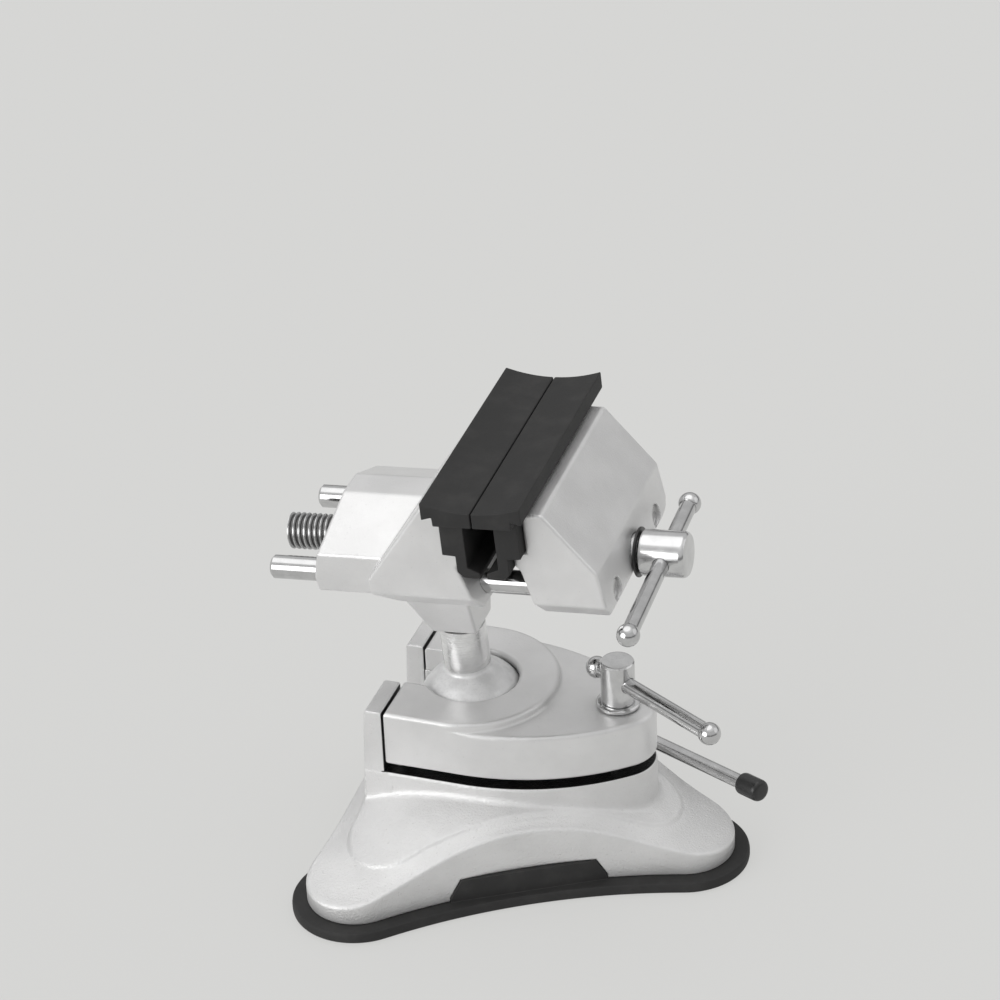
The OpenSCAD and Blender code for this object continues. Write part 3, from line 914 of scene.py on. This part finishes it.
def arc(cx: float, cy: float, rx: float, ry: float, start: float, end: float, steps: int) -> list[Point]:
    """Return points of an elliptic arc, angles in degrees."""
    angles = [math.radians(start + (end - start) * k / steps) for k in range(steps + 1)]
    return [(cx + rx * math.cos(a), cy + ry * math.sin(a)) for a in angles]


def egg(back: float, half: float = 24.0, side: float = 64.0, tip: float = 10.0,
        tip_x: float = 40.3) -> list[Point]:
    """Return the outline of the clamp plate and its pedestal from the ball's axis.

    Args:
        back: Where the straight back edge lies.
        half: Half width.
        side: Radius of the bowed sides.
        tip: Radius of the narrow end.
        tip_x: Centre of the narrow end.

    Returns:
        The outline's corners.
    """
    cy = side - half
    cx = tip_x - math.sqrt((side - tip) ** 2 - cy**2)
    a = math.degrees(math.atan2(cy, tip_x - cx))
    right = arc(cx, cy, side, side, -90, -a, 24)
    nose = arc(tip_x, 0, tip, tip, -a, a, 24)[1:-1]
    left = arc(cx, -cy, side, side, a, 90, 24)
    return [(back, -half), *right, *nose, *left, (back, half)]


def across_section(x: float, z: float) -> Matrix:
    """Return the frame whose local X is the world's X, local Y the world's Z and local Z the world's -Y."""
    return at(x, 0, z) @ spin(90.0, "X")


# ---------------------------------------------------------------- the base


@dataclass
class Base:
    """Three-lobed casting with its pedestal and posts, and the rubber pad under it."""

    metal: Lobes = Lobes(51.0, 13.2, 172.0)
    pad: Lobes = Lobes(51.0, 17.2, 168.0)
    deck: Lobes = Lobes(38.0, 12.0, 317.0)
    pad_t: float = 3.0
    deck_step: float = 1.0
    ped_z: float = 28.7
    post_top: float = 47.3
    tab_len: float = 42.0
    tab_h: float = 6.3
    bell_r: tuple[float, ...] = (0.0, 22.0, 34.0, 50.0, 70.0)
    bell_z: tuple[float, ...] = (24.4, 24.0, 20.2, 12.2, 7.2)
    bell_m: tuple[float, ...] = (0.0, -0.13, -0.44, -0.42, -0.08)

    def bell(self, r: float) -> float:
        """Return the bell's height at a distance from the middle."""
        k = max(i for i in range(4) if r >= self.bell_r[i]) if r > 0 else 0
        w = self.bell_r[k + 1] - self.bell_r[k]
        t = min(1.0, (r - self.bell_r[k]) / w)
        t2, t3 = t * t, t**3
        return (
            (2 * t3 - 3 * t2 + 1) * self.bell_z[k]
            + (t3 - 2 * t2 + t) * w * self.bell_m[k]
            + (3 * t2 - 2 * t3) * self.bell_z[k + 1]
            + (t3 - t2) * w * self.bell_m[k + 1]
        )

    def shell(self) -> Form:
        """Return the bell-shaped shell with its deck step and its hollow."""

        def over(edge: Lobes, offset: float, rise: float) -> Ring:
            return lambda a: (edge.at(a) + offset, self.bell(edge.at(a) + offset) + rise)

        def inner(part: float) -> Ring:
            def ring(a: float) -> Point:
                r = 8.0 + (self.deck.at(a) - 17.0) * part
                return r, self.bell(r) + self.deck_step

            return ring

        def between(part: float) -> Ring:
            def ring(a: float) -> Point:
                low, high = self.deck.at(a) + 0.9, self.metal.at(a) - 1.3
                r = low + (high - low) * part
                return r, self.bell(r) + SWELL * (1.0 - part) ** 2

            return ring

        s, foot = self.deck_step, self.pad_t
        roof = 18.3
        lip = ((-9.0, s), (-6.5, s), (-4.5, s), (-2.6, s), (-1.2, s), (-0.7, s - 0.04), (-0.35, s - 0.18),
               (-0.1, s - 0.42), (0.1, SWELL + 0.12), (0.35, SWELL + 0.02))
        rim = ((-0.9, 0.0), (-0.5, -0.06), (-0.22, -0.22), (-0.05, -0.5), (0.0, -0.95))
        wall = ((0.0, foot + 0.6), (-0.2, foot + 0.12), (-0.6, foot), (-2.8, foot), (-3.0, foot + 0.3))
        rings: list[Ring] = [
            *(inner(part) for part in (0.0, 0.3, 0.5, 0.65, 0.8, 0.9)),
            *(over(self.deck, offset, rise) for offset, rise in lip),
            *(between(part) for part in (0.0, 0.12, 0.3, 0.5, 0.7, 0.88, 1.0)),
            *(over(self.metal, offset, rise) for offset, rise in rim),
            *(self.metal.ring(offset, z) for offset, z in wall),
            lambda a: (self.metal.at(a) - 3.0, min(roof, self.bell(self.metal.at(a) - 3.0) - 3.0)),
            lambda a: (self.metal.at(a) * 0.55, min(roof, self.bell(self.metal.at(a) * 0.55) - 3.0)),
        ]
        return Form.loft(rings, 480, poles=(self.bell(0) + s, roof))

    def pedestal(self) -> Form:
        """Return the pedestal with its fillet, round edge and ball seat."""
        outline = egg(-22.6)

        def foot(offset: float, rise: float) -> Ring:
            def ring(a: float) -> Point:
                r = polar(outline, a) + offset
                far = math.hypot(BALL_X + r * math.cos(a), r * math.sin(a))
                inside = self.deck.at(math.atan2(r * math.sin(a), BALL_X + r * math.cos(a))) - far
                part = min(1.0, max(0.0, inside / 1.2 + 0.5))
                return r, self.bell(far) + SWELL + (self.deck_step - SWELL) * part + rise

            return ring

        cove = ((0.4, -6.0), (1.5, -0.4), (0.9, 0.1), (0.45, 0.45), (0.12, 1.0), (0.0, 1.6))
        rings: list[Ring] = [
            *(foot(o, rise) for o, rise in cove),
            *(around(outline, o, self.ped_z - drop) for o, drop in ((0.0, 0.9), (-0.12, 0.4), (-0.4, 0.1), (-0.9, 0.0))),
            *(level(r, BALL_Z - math.sqrt(15.05**2 - r * r)) for r in (12.98, 11.5, 9.0, 6.0, 3.0)),
        ]
        return Form.loft(rings, 360, (BALL_X, 0.0), (15.0, 21.25))

    def post(self, side: int) -> Form:
        """Return one post with the ledge the plate's tail rocks on."""
        outline = [(-23.4, 13.0), (-14.9, 13.0), (-14.9, 27.7), (-17.0, 28.7), (-17.0, 46.9),
                   (-17.4, self.post_top), (-21.2, self.post_top), (-21.9, 46.6)]
        upright = Form.prism(outline, 8.8, 23.96, across_section(BALL_X, 0)).soften(0.6, 3)
        ledge = Form.block((-25.0, -20.2, 27.0), (-20.2, -8.8, 39.9)).soften(0.5, 2)
        if side > 0:
            upright.mirrored(1, 0.0)
            ledge.mirrored(1, 0.0)
        return upright.join(ledge)

    def tab(self, turn: float, grow: float, proud: float) -> Form:
        """Return a rubber tab that follows a side wall, grown on all sides.

        Args:
            turn: Direction of the side in degrees.
            grow: Growth of its outline.
            proud: How far it stands out of the wall.

        Returns:
            The closed tab.
        """
        half = self.tab_len / 2 + grow
        form = Form()
        grid = bmesh.ops.create_grid(form.bm, x_segments=42, y_segments=4, size=1.0)["verts"]
        for v in grid:
            z = (v.co.y + 1) / 2
            lean = max(0.0, z - 0.25) / 0.75 * 3.0
            v.co = Vector((v.co.x * (half - lean), 0.0, self.pad_t - 0.3 + z * (self.tab_h + grow + 0.3)))
        thick = bmesh.ops.extrude_face_region(form.bm, geom=form.bm.faces[:])
        grown = [g for g in thick["geom"] if isinstance(g, bmesh.types.BMVert)]
        bmesh.ops.translate(form.bm, verts=grown, vec=(0, 2.0 + grow + proud, 0))
        form.tidy(None)
        if grow == 0:
            form.soften(0.35, 2, 40.0)
        radius, middle = self.metal.side, self.metal.centre
        for v in form.bm.verts:
            s, depth = v.co.x, v.co.y - 2.0
            a = s / radius
            v.co = Vector((middle - (radius - depth) * math.cos(a), (radius - depth) * math.sin(a), v.co.z))
        return form.tidy(spin(turn, "Z"))

    def build(self, finishes: Finishes) -> None:
        """Build and dress the casting and the pad."""
        shell = self.shell()
        for side in SIDES:
            shell.combine(self.tab(side, 0.15, 0.8))
        pedestal = self.pedestal()
        well = Form.rod(5.5, -1, 21.3, None, 64)
        shell.combine(well)
        pedestal.combine(well)
        boss = [(3.6, 0.0), (6.0, 0.0), (6.0, 8.2), (5.6, 8.6), (3.8, 8.6), (3.6, 8.4)]
        hub = Form.turned(boss, spin(CAM_TURN, "Z") @ at(27.35, 0, CAM_Z) @ AXIS_X, 48)
        shell.join(pedestal, self.post(1), self.post(-1), hub)
        shell.piece("base_bell", "base", "base_casting", finishes.of("cast_silver_base"), 38.0)
        rim = ((-6.4, 0.8), (-6.0, 0.5), (-5.8, 0.0), (-0.5, 0.0), (-0.1, 0.25), (0.0, 0.8), (0.0, 1.9),
               (-0.12, 2.5), (-0.5, 2.88), (-1.1, 2.98), (-3.4, 3.0), (-6.0, 2.9))
        low: list[Ring] = [level(8.0, 0.8), *(self.pad.ring(o, z) for o, z in rim), level(8.0, 2.9)]
        pad = Form.loft(low, 480, poles=(0.8, 2.9))
        for side in SIDES:
            pad.join(self.tab(side, 0.0, 0.35))
        pad.piece("suction_pad_rim", "base", "suction_pad", finishes.of("rubber"))


@dataclass
class SuctionCam:
    """Cam hub outside the wall, its lever and the lever's black cap."""

    hub_s: float = 40.75
    rise: float = 6.0
    rod: float = 1.95
    cap: float = 3.0
    end: float = 58.0

    def lever(self) -> Matrix:
        """Return the frame whose local Z runs along the lever from the shaft's axis."""
        lie = spin(-90.0, "Z") @ spin(-self.rise, "Y")
        return at(0, 0, CAM_Z) @ spin(CAM_TURN, "Z") @ at(self.hub_s, 0, 0) @ lie @ AXIS_X

    def build(self, finishes: Finishes) -> None:
        """Build and dress the hub, the lever and the cap."""
        frame = self.lever()
        shaft = [(0, -11.4), (3.5, -11.4), (3.5, 36.2), (4.5, 36.25), (4.8, 36.4), (4.95, 36.8), (4.95, 44.6),
                 (4.8, 45.0), (4.4, 45.25), (3.0, 45.3), (0, 45.3)]
        hub = Form.turned(shaft, at(0, 0, CAM_Z) @ spin(CAM_TURN, "Z") @ AXIS_X, 72)
        hub.combine(Form.rod(self.rod + 0.05, -8, 8, frame))
        hub.piece("cam_hub", "cam_lever", "cam_shaft", finishes.of("chrome_upright"), 30.0)
        r, c, e = self.rod, self.cap, self.end
        rod = [(0, -5.75), (r - 0.5, -5.75), (r - 0.15, -5.6), (r, -5.25), (r, 46.2), (r, 54.6),
               (r - 0.3, 55.0), (0, 55.0)]
        lever = Form.turned(rod, frame, 48)
        lever.piece("cam_lever_rod", "cam_lever", "lever_rod", finishes.of("chrome_lever"))
        cap = [(0, e - 2.9), (r + 0.02, e - 2.95), (r + 0.02, 50.6), (c - 0.55, 50.6), (c - 0.2, 50.75),
               (c - 0.05, 51.1), (c, 51.7), (c, e - 1.3), (c - 0.12, e - 0.7), (c - 0.42, e - 0.25),
               (c - 0.9, e - 0.05), (c - 1.4, e), (0, e)]
        sleeve = Form.turned(cap, frame, 56)
        sleeve.piece("lever_grip", "cam_lever", "lever_cap", finishes.of("black_plastic"))


# ---------------------------------------------------------------- the ball clamp


@dataclass
class BallClamp:
    """Clamp plate over the ball, its screw with washer and tommy bar, and the ball's stem."""

    skirt: float = 31.5
    deck: float = 44.9
    top: float = 47.3
    hole: float = 12.5
    wall: float = 3.0
    back: float = -16.4
    screw_x: float = 33.3
    bar_z: float = 52.8
    bar_shift: float = 13.2
    ball_r: float = 15.0

    def plate(self) -> Form:
        """Return the plate as one lofted ring, cut for the neck, the posts' ledges and the screw."""
        low = egg(self.back)
        high = [(self.back, -24.0), *arc(0, 0, 23.2, 24.0, -90, 90, 60), (self.back, 24.0)]

        def both(a: float) -> Place:
            r_low, r_high = polar(low, a), polar(high, a)
            return r_low, min(r_high, r_low), min(1.0, max(0.0, (r_low - r_high) / 2.6))

        def hi(offset: float, z: float) -> Ring:
            return lambda a: (both(a)[1] + offset, z)

        def fillet(offset: float, rise: float) -> Ring:
            def ring(a: float) -> Point:
                r_low, r_high, w = both(a)
                return min(r_high + offset * w, r_low), self.deck + rise

            return ring

        def lo(offset: float, drop: float) -> Ring:
            def ring(a: float) -> Point:
                r_low, r_high, w = both(a)
                return max(r_low - offset * w, r_high), self.deck - drop

            return ring

        def seat(r: float) -> Ring:
            def ring(a: float) -> Point:
                fit = min(r, polar(low, a) - 3.1 - (15.2 - r) * 0.1)
                return fit, BALL_Z + math.sqrt(15.3**2 - fit * fit)

            return ring

        brow = ((-1.3, 0.0), (-0.7, 0.1), (-0.3, 0.35), (-0.05, 0.75), (0.0, 1.2))
        rings: list[Ring] = [
            level(self.hole, self.top - 0.8),
            level(self.hole + 0.35, self.top - 0.3),
            level(self.hole + 0.9, self.top),
            *(hi(o, self.top - drop) for o, drop in brow),
            *(fillet(o, rise) for o, rise in ((0.0, 0.7), (0.15, 0.35), (0.45, 0.1), (0.9, 0.0))),
            *(lo(o, drop) for o, drop in ((1.5, 0.0), (0.9, 0.1), (0.45, 0.32), (0.12, 0.75), (0.0, 1.4))),
            *(around(low, -o, self.skirt + rise) for o, rise in ((0.0, 0.9), (0.12, 0.4), (0.4, 0.1), (0.8, 0.0))),
            around(low, -self.wall, self.skirt),
            around(low, -self.wall, 41.5),
            lambda a: (min(18.0, polar(low, a) - 3.0), 41.5),
            lambda a: (min(18.0, polar(low, a) - 3.0), 36.6),
            *(seat(r) for r in (15.2, 14.6, 13.6, self.hole)),
            level(self.hole, self.top - 0.8),
        ]
        form = Form.loft(rings, 480, (BALL_X, 0.0))
        form.combine(Form.block((-45.0, -8.5, 20.0), (BALL_X, 8.5, 60.0)), crossing=True)
        form.combine(Form.block((-40.0, -20.5, 20.0), (-19.9, 20.5, 40.2)))
        form.combine(Form.rod(4.7, 20, 60, at(self.screw_x, 0, 0), 64))
        return form

    def build(self, finishes: Finishes) -> None:
        """Build and dress the plate, the screw and the stem."""
        self.plate().piece("clamp_plate_cap", "clamp", "clamp_plate", finishes.of("cast_silver"), 38.0)
        spot = at(self.screw_x, 0, self.deck + 0.3)
        bright = finishes.of("chrome_upright")
        washer = [(4.05, 0.0), (5.5, 0.0), (5.8, 0.25), (5.8, 0.85), (5.55, 1.12), (5.3, 1.2), (4.35, 1.2),
                  (4.05, 0.95)]
        Form.turned(washer, spot, 64).piece("clamp_screw_washer", "clamp_rise", "clamp_washer", bright)
        head = [(0, -32.2), (3.0, -32.2), (4.0, -31.2), (4.0, 1.2), (4.15, 1.2), (4.4, 1.35), (4.5, 1.7),
                (4.5, 12.7), (4.42, 13.15), (4.15, 13.45), (3.7, 13.58), (0, 13.6)]
        screw = Form.turned(head, spot, 72)
        turn = at(self.screw_x, 0, self.bar_z) @ spin(-CLAMP_BAR_TURN, "Z") @ AXIS_X
        screw.combine(Form.rod(CROSS_HOLE, -8, 8, turn))
        screw.piece("clamp_screw_head", "clamp_turn", "clamp_screw", bright, 30.0)
        bar = turn @ at(0, 0, self.bar_shift)
        names = ("clamp_bar", "clamp_knobs", "clamp_handle")
        TommyBar(*names, bar, "chrome_clamp_bar", half=21.2).build(finishes)
        a0 = math.degrees(math.asin(12.4 / 30))
        angles = [math.radians(180 - (180 - a0) * k / 64) for k in range(1, 64)]
        ball = [(self.ball_r * math.sin(a), self.ball_r * math.cos(a)) for a in angles]
        neck = [(6.3, 13.75), (6.2, 14.2), (6.2, 26.4), (6.1, 26.8), (5.8, 27.0), (4.5, 27.0), (4.5, 37.4),
                (3.9, 38.0), (0, 38.0)]
        stem = Form.turned([(0.0, -self.ball_r), *ball, *neck], SEAT, 96)
        stem.piece("ball_and_neck", "ball", "ball_stem", finishes.of("machined"), 40.0)


@dataclass
class TommyBar:
    """A sliding cross bar with a knob at each end, along its frame's local Z."""

    bar: str
    knobs: str
    body: str
    frame: Matrix
    finish: str
    radius: float = 2.17
    knob: float = 2.98
    half: float = 25.0

    def build(self, finishes: Finishes) -> None:
        """Build and dress the bar and its two knobs."""
        r, h = self.radius, self.half
        rod = [(0, -h - 0.6), (r - 0.3, -h - 0.6), (r, -h), (r, h), (r - 0.3, h + 0.6), (0, h + 0.6)]
        look = finishes.of(self.finish)
        Form.turned(rod, self.frame, 48).piece(f"{self.bar}_rod", self.body, self.bar, look)
        k = self.knob
        start = math.asin((r + 0.25) / k)
        angles = [math.pi - start - (math.pi - start) * i / 28 for i in range(29)]
        curve = [(k * math.sin(a), k * math.cos(a)) for a in angles]
        curve[-1] = (0.0, curve[-1][1])
        mouth = curve[0][1]
        inner = [(0.0, mouth + 0.35), (r + 0.02, mouth + 0.35), (r + 0.02, mouth - 0.1)]
        both = Form()
        for turn in (0.0, math.pi):
            ball = [(x, z + h) for x, z in [*inner, *curve]]
            both.join(Form.turned(ball, self.frame @ Matrix.Rotation(turn, 4, "X"), 48))
        both.piece(f"{self.knobs}_balls", self.body, self.knobs, look)


# ---------------------------------------------------------------- the vise head


@dataclass
class ViseHead:
    """Fixed and moving jaws with their rubber covers, rods and lead screw."""

    jaw_h: float = 26.0
    jaw_w: float = 57.0
    cover_w: float = 72.0
    low: float = -4.5
    rod_y: float = 18.3
    rod_r: float = 3.1
    rod_back: float = -42.6
    rod_len: float = 92.0
    block_back: float = 49.9
    cross_x: float = 57.9
    cross_turn: float = 2.7
    cross_shift: float = -6.4

    def bore(self, radius: float, y: float, x0: float, x1: float) -> Form:
        """Return a cutter along X at the rods' height."""
        return Form.rod(radius, 0, x1 - x0, at(x0, y, ROD_Z) @ AXIS_X, 56)

    def trimmed(self, form: Form) -> Form:
        """Cut the lower end corners off a jaw."""
        for side in (-1, 1):
            form.slice((0, side * self.jaw_w / 2, ROD_Z + 0.2), (0, side * 4.7, -4.5))
        return form

    def jaw(self, outer: list[Point], low_in: float) -> Form:
        """Return a jaw bar on the +X side of the seam.

        Args:
            outer: Outside corners as distance from the seam and height from the rods.
            low_in: Distance of its lower inner corner.

        Returns:
            The rounded bar.
        """
        inner = [(10.4, self.jaw_h), (10.4, 15.0), (7.0, 14.8), (7.0, 11.0), (8.4, 9.6), (low_in, self.low)]
        outline = [*inner, *outer]
        form = Form.prism(outline, -self.jaw_w / 2, self.jaw_w / 2, across_section(SEAM_X, ROD_Z))
        return self.trimmed(form).soften(0.75, 3, 15.0)

    def moving(self, finishes: Finishes) -> None:
        """Build and dress the moving jaw."""
        form = self.jaw([(29.2, self.low), (30.2, -2.0), (28.3, 10.0), (15.6, self.jaw_h)], 12.0)
        for side in (-1, 1):
            form.combine(self.bore(self.rod_r + 0.02, side * self.rod_y, SEAM_X, SEAM_X + 60))
        form.combine(self.bore(5.1, 0, SEAM_X, SEAM_X + 60))
        form.piece("moving_jaw_block", "slide_jaw", "moving_jaw", finishes.of("cast_silver"), 38.0)

    def fixed(self, finishes: Finishes) -> None:
        """Build and dress the fixed jaw with its rear block and leg."""
        jaw = self.jaw([(26.5, self.low), (32.6, -1.0), (33.0, 4.0), (16.4, self.jaw_h)], 3.6)
        jaw.mirrored(0, SEAM_X)
        section = [(-21.5, self.low), (21.5, self.low), (23.1, 1.5), (23.1, 7.5), (4.8, 15.6), (-4.8, 15.6),
                   (-23.1, 7.5), (-23.1, 1.5)]
        frame = at(0, 0, ROD_Z) @ spin(90.0, "Z") @ spin(90.0, "X")
        back = SEAM_X - self.block_back
        block = Form.prism(section, back, SEAM_X - 18.4, frame)
        lean = math.radians(12.5)
        block.slice((back, 0, ROD_Z), (-math.cos(lean), 0, math.sin(lean))).soften(0.7, 3, 15.0)
        leg = Form.tapered((-13.2, -0.8, -6.2, 6.2), 63.6, (-22.0, -0.5, -13.0, 13.0), ROD_Z - 4.3)
        leg.soften(0.8, 3, 15.0)
        for form in (jaw, block):
            for side in (-1, 1):
                form.combine(self.bore(self.rod_r + 0.05, side * self.rod_y, -50, SEAM_X))
            form.combine(self.bore(5.05, 0, -50, SEAM_X))
        leg.combine(Form.rod(4.55, 60, 75, at(BALL_X, 0, 0)))
        jaw.join(block, leg)
        jaw.piece("fixed_jaw_block", "head", "fixed_jaw", finishes.of("cast_silver"), 38.0)

    def cover(self) -> Form:
        """Return the +X side's jaw cover: concave top, lip past the jaw's ends, stepped foot."""
        h = self.jaw_h
        top = [(0.15 + 12.85 * k / 12, h + 3.8 + 2.2 * (k / 12) ** 2) for k in range(13)]
        lip = [*top, (13.0, h + 1.2), (10.3, h + 2.0), (10.2, h - 0.4), (0.15, h - 0.4)]
        foot = [(0.2, h + 0.2), (10.25, h + 0.2), (10.3, 15.1), (6.9, 14.9), (6.9, 10.4), (5.2, 8.8),
                (0.8, 8.8), (0.8, 10.4), (4.0, 11.8), (4.0, h - 2.0), (0.2, h - 0.4)]
        frame = across_section(SEAM_X, ROD_Z)
        upper = Form.prism(lip, -self.cover_w / 2, self.cover_w / 2, frame).soften(0.35, 2, 20.0)
        lower = Form.prism(foot, -32.0, 32.0, frame).soften(0.35, 2, 20.0)
        return upper.join(lower)

    def hardware(self, finishes: Finishes) -> None:
        """Build and dress the rods, the lead screw, its washer and its tommy bar."""
        r, end = self.rod_r, self.rod_len
        rod = [(0, 0), (r - 0.9, 0), (r - 0.6, 0.08), (r, 0.75), (r, end - 0.6), (r - 0.6, end), (0, end)]
        rods = Form()
        for side in (-1, 1):
            rods.join(Form.turned(rod, at(BALL_X + self.rod_back, side * self.rod_y, ROD_Z) @ AXIS_X, 56))
        rods.piece("guide_rod_pair", "slide_jaw", "guide_rods", finishes.of("chrome_rods"), 30.0)
        axis = at(BALL_X, 0, ROD_Z) @ AXIS_X
        screw = Form.thread(4.85, 4.0, 1.5, -43.9, 42.0).moved(axis)
        ends = Form.rod(4.9, 41.5, 51.8, axis, 56)
        head = [(0, 51.4), (4.6, 51.4), (5.3, 51.55), (5.8, 52.0), (6.0, 52.7), (6.0, 62.6), (5.85, 63.3),
                (5.4, 63.8), (4.7, 64.0), (0, 64.0)]
        knob = Form.turned(head, axis, 72)
        cross = at(BALL_X + self.cross_x, 0, ROD_Z) @ spin(self.cross_turn, "X") @ spin(90.0, "Z") @ AXIS_X
        knob.combine(Form.rod(CROSS_HOLE, -9, 9, cross))
        screw.join(ends).piece("lead_screw_thread", "lead", "lead_screw", finishes.of("steel"), 30.0)
        knob.piece("lead_screw_head", "lead", "lead_screw", finishes.of("chrome_head"), 30.0)
        ring = [(5.05, 50.7), (6.3, 50.7), (6.5, 50.85), (6.5, 51.2), (6.35, 51.35), (5.05, 51.35)]
        washer = Form.turned(ring, axis, 56)
        washer.piece("lead_screw_washer", "lead", "lead_washer", finishes.of("black_plastic"))
        bar = cross @ at(0, 0, self.cross_shift)
        TommyBar("lead_bar", "lead_knobs", "lead_handle", bar, "chrome_cross", half=30.0).build(finishes)

    def build(self, finishes: Finishes) -> None:
        """Build and dress the whole head."""
        self.fixed(finishes)
        self.moving(finishes)
        far_cover = self.cover().mirrored(0, SEAM_X)
        far_cover.piece("fixed_jaw_cover", "head", "fixed_cover", finishes.of("rubber"))
        self.cover().piece("moving_jaw_cover", "slide_jaw", "moving_cover", finishes.of("rubber"))
        self.hardware(finishes)


# ---------------------------------------------------------------- studio


@dataclass
class Studio:
    """Pale floor, soft lamps and the camera at the photograph's place."""

    background: tuple[float, float, float, float] = (0.665, 0.665, 0.651, 1.0)
    azimuth: float = 19.95
    elevation: float = 30.84
    roll: float = -2.48
    offset: Point = (-5.57, -86.48)
    distance: float = 949.1
    focal: float = 3500.0
    lamps: tuple[tuple[str, Place, float, float], ...] = (
        ("overhead", (-0.20, 0.10, 0.95), 0.50, 60.0),
        ("front_left", (-0.60, -0.80, 0.24), 1.50, 46.0),
        ("right_back", (0.85, 0.35, 0.45), 0.20, 50.0),
    )

    def camera(self) -> None:
        """Place the camera by the fitted view."""
        a, e, r = (math.radians(v) for v in (self.azimuth, self.elevation, self.roll))
        back = Vector((math.sin(a) * math.cos(e), -math.cos(a) * math.cos(e), math.sin(e)))
        right = Vector((math.cos(a), math.sin(a), 0.0))
        up = back.cross(right)
        side = right * math.cos(r) + up * math.sin(r)
        rise = up * math.cos(r) - right * math.sin(r)
        spot = side * -self.offset[0] + rise * -self.offset[1] + back * self.distance + Vector((BALL_X, 0, 0))
        data = bpy.data.cameras.new("camera")
        data.sensor_fit = "HORIZONTAL"
        data.sensor_width = 36.0
        data.lens = self.focal / 1000.0 * 36.0
        data.clip_start = 0.01
        data.clip_end = 50.0
        made = linked("camera", data)
        made.matrix_world = at(*(spot * MM)) @ Matrix((side, rise, back)).transposed().to_4x4()
        bpy.context.scene.camera = made

    def seen(self, graph: Graph) -> Wire:
        """Return 1 for camera, glossy and transmission rays."""
        path = graph.node("LightPath")
        total = path["Is Camera Ray"] + path["Is Glossy Ray"] + path["Is Transmission Ray"]
        return total.capped()

    def floor(self) -> None:
        """Lay the floor, which shows the background's colour and a faint shadow."""
        form = Form()
        bmesh.ops.create_circle(form.bm, cap_ends=True, segments=96, radius=6.0)
        form.moved(at(0, 0, -0.0003))
        mesh = bpy.data.meshes.new("floor")
        form.bm.to_mesh(mesh)
        material, graph = blank("pale_floor")
        plain = graph.node("BsdfDiffuse", {"Color": grey(0.72)})["BSDF"]
        glow = graph.node("Emission", {"Color": self.background, "Strength": 0.80})["Emission"]
        faint = graph.node("BsdfDiffuse", {"Color": grey(0.135)})["BSDF"]
        shown = graph.node("AddShader", {0: glow, 1: faint})["Shader"]
        mixed = graph.node("MixShader", {0: self.seen(graph), 1: plain, 2: shown})["Shader"]
        graph.node("OutputMaterial", {"Surface": mixed})
        mesh.materials.append(material)
        linked("floor", mesh)

    def world(self) -> None:
        """Light the room softly: bright above, a darker band near the horizon that metal can mirror."""
        world = bpy.data.worlds.new("studio")
        world.use_nodes = True
        bpy.context.scene.world = world
        graph = Graph(world.node_tree)
        up = graph.axes(graph.node("TexCoord")["Generated"])["Z"]
        lift = up.ramp(0.02, 0.55, 0.66, 0.88)
        band = (up - 0.16).size().ramp(0.05, 0.13, 0.42, 0.0)
        level = lift - band + up.ramp(0.68, 0.94, 0.0, 0.42)
        path = graph.node("LightPath")["Is Camera Ray"]
        room = graph.node("Background", {"Color": grey(1.0), "Strength": level * 0.75})
        plain = graph.node("Background", {"Color": self.background, "Strength": 1.0})
        room, plain = room["Background"], plain["Background"]
        mixed = graph.node("MixShader", {0: path, 1: room, 2: plain})["Shader"]
        graph.node("OutputWorld", {"Surface": mixed})

    def lamp(self, name: str, way: Place, strength: float, spread: float) -> None:
        """Hang a soft lamp.

        Args:
            name: Its name.
            way: Direction from the object to the lamp.
            strength: Its strength.
            spread: Its width in degrees.
        """
        data = bpy.data.lights.new(name, "SUN")
        data.energy = strength
        data.angle = math.radians(spread)
        made = linked(name, data)
        made.matrix_world = Vector(way).normalized().to_track_quat("Z", "Y").to_matrix().to_4x4()

    def build(self) -> None:
        """Build the camera, the floor, the world and the lamps."""
        self.camera()
        self.floor()
        self.world()
        for lamp in self.lamps:
            self.lamp(*lamp)
        bpy.context.scene.view_settings.view_transform = "Standard"


def dress_hidden(finishes: Finishes) -> None:
    """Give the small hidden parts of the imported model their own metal."""
    for node in ("pad_stud", "cam_clip", "lead_clip"):
        thing = next(o for o in bpy.data.objects if o.get("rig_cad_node") == node)
        thing.data.materials.clear()
        thing.data.materials.append(finishes.of("steel").material)
        LOG.info("%s keeps its packed shape", node)


def main() -> None:
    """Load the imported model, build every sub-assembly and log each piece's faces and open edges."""
    logging.basicConfig(level=logging.INFO, format="%(message)s")
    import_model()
    finishes = Finishes()
    Studio().build()
    Base().build(finishes)
    SuctionCam().build(finishes)
    BallClamp().build(finishes)
    ViseHead().build(finishes)
    dress_hidden(finishes)


if __name__ == "__main__":
    main()
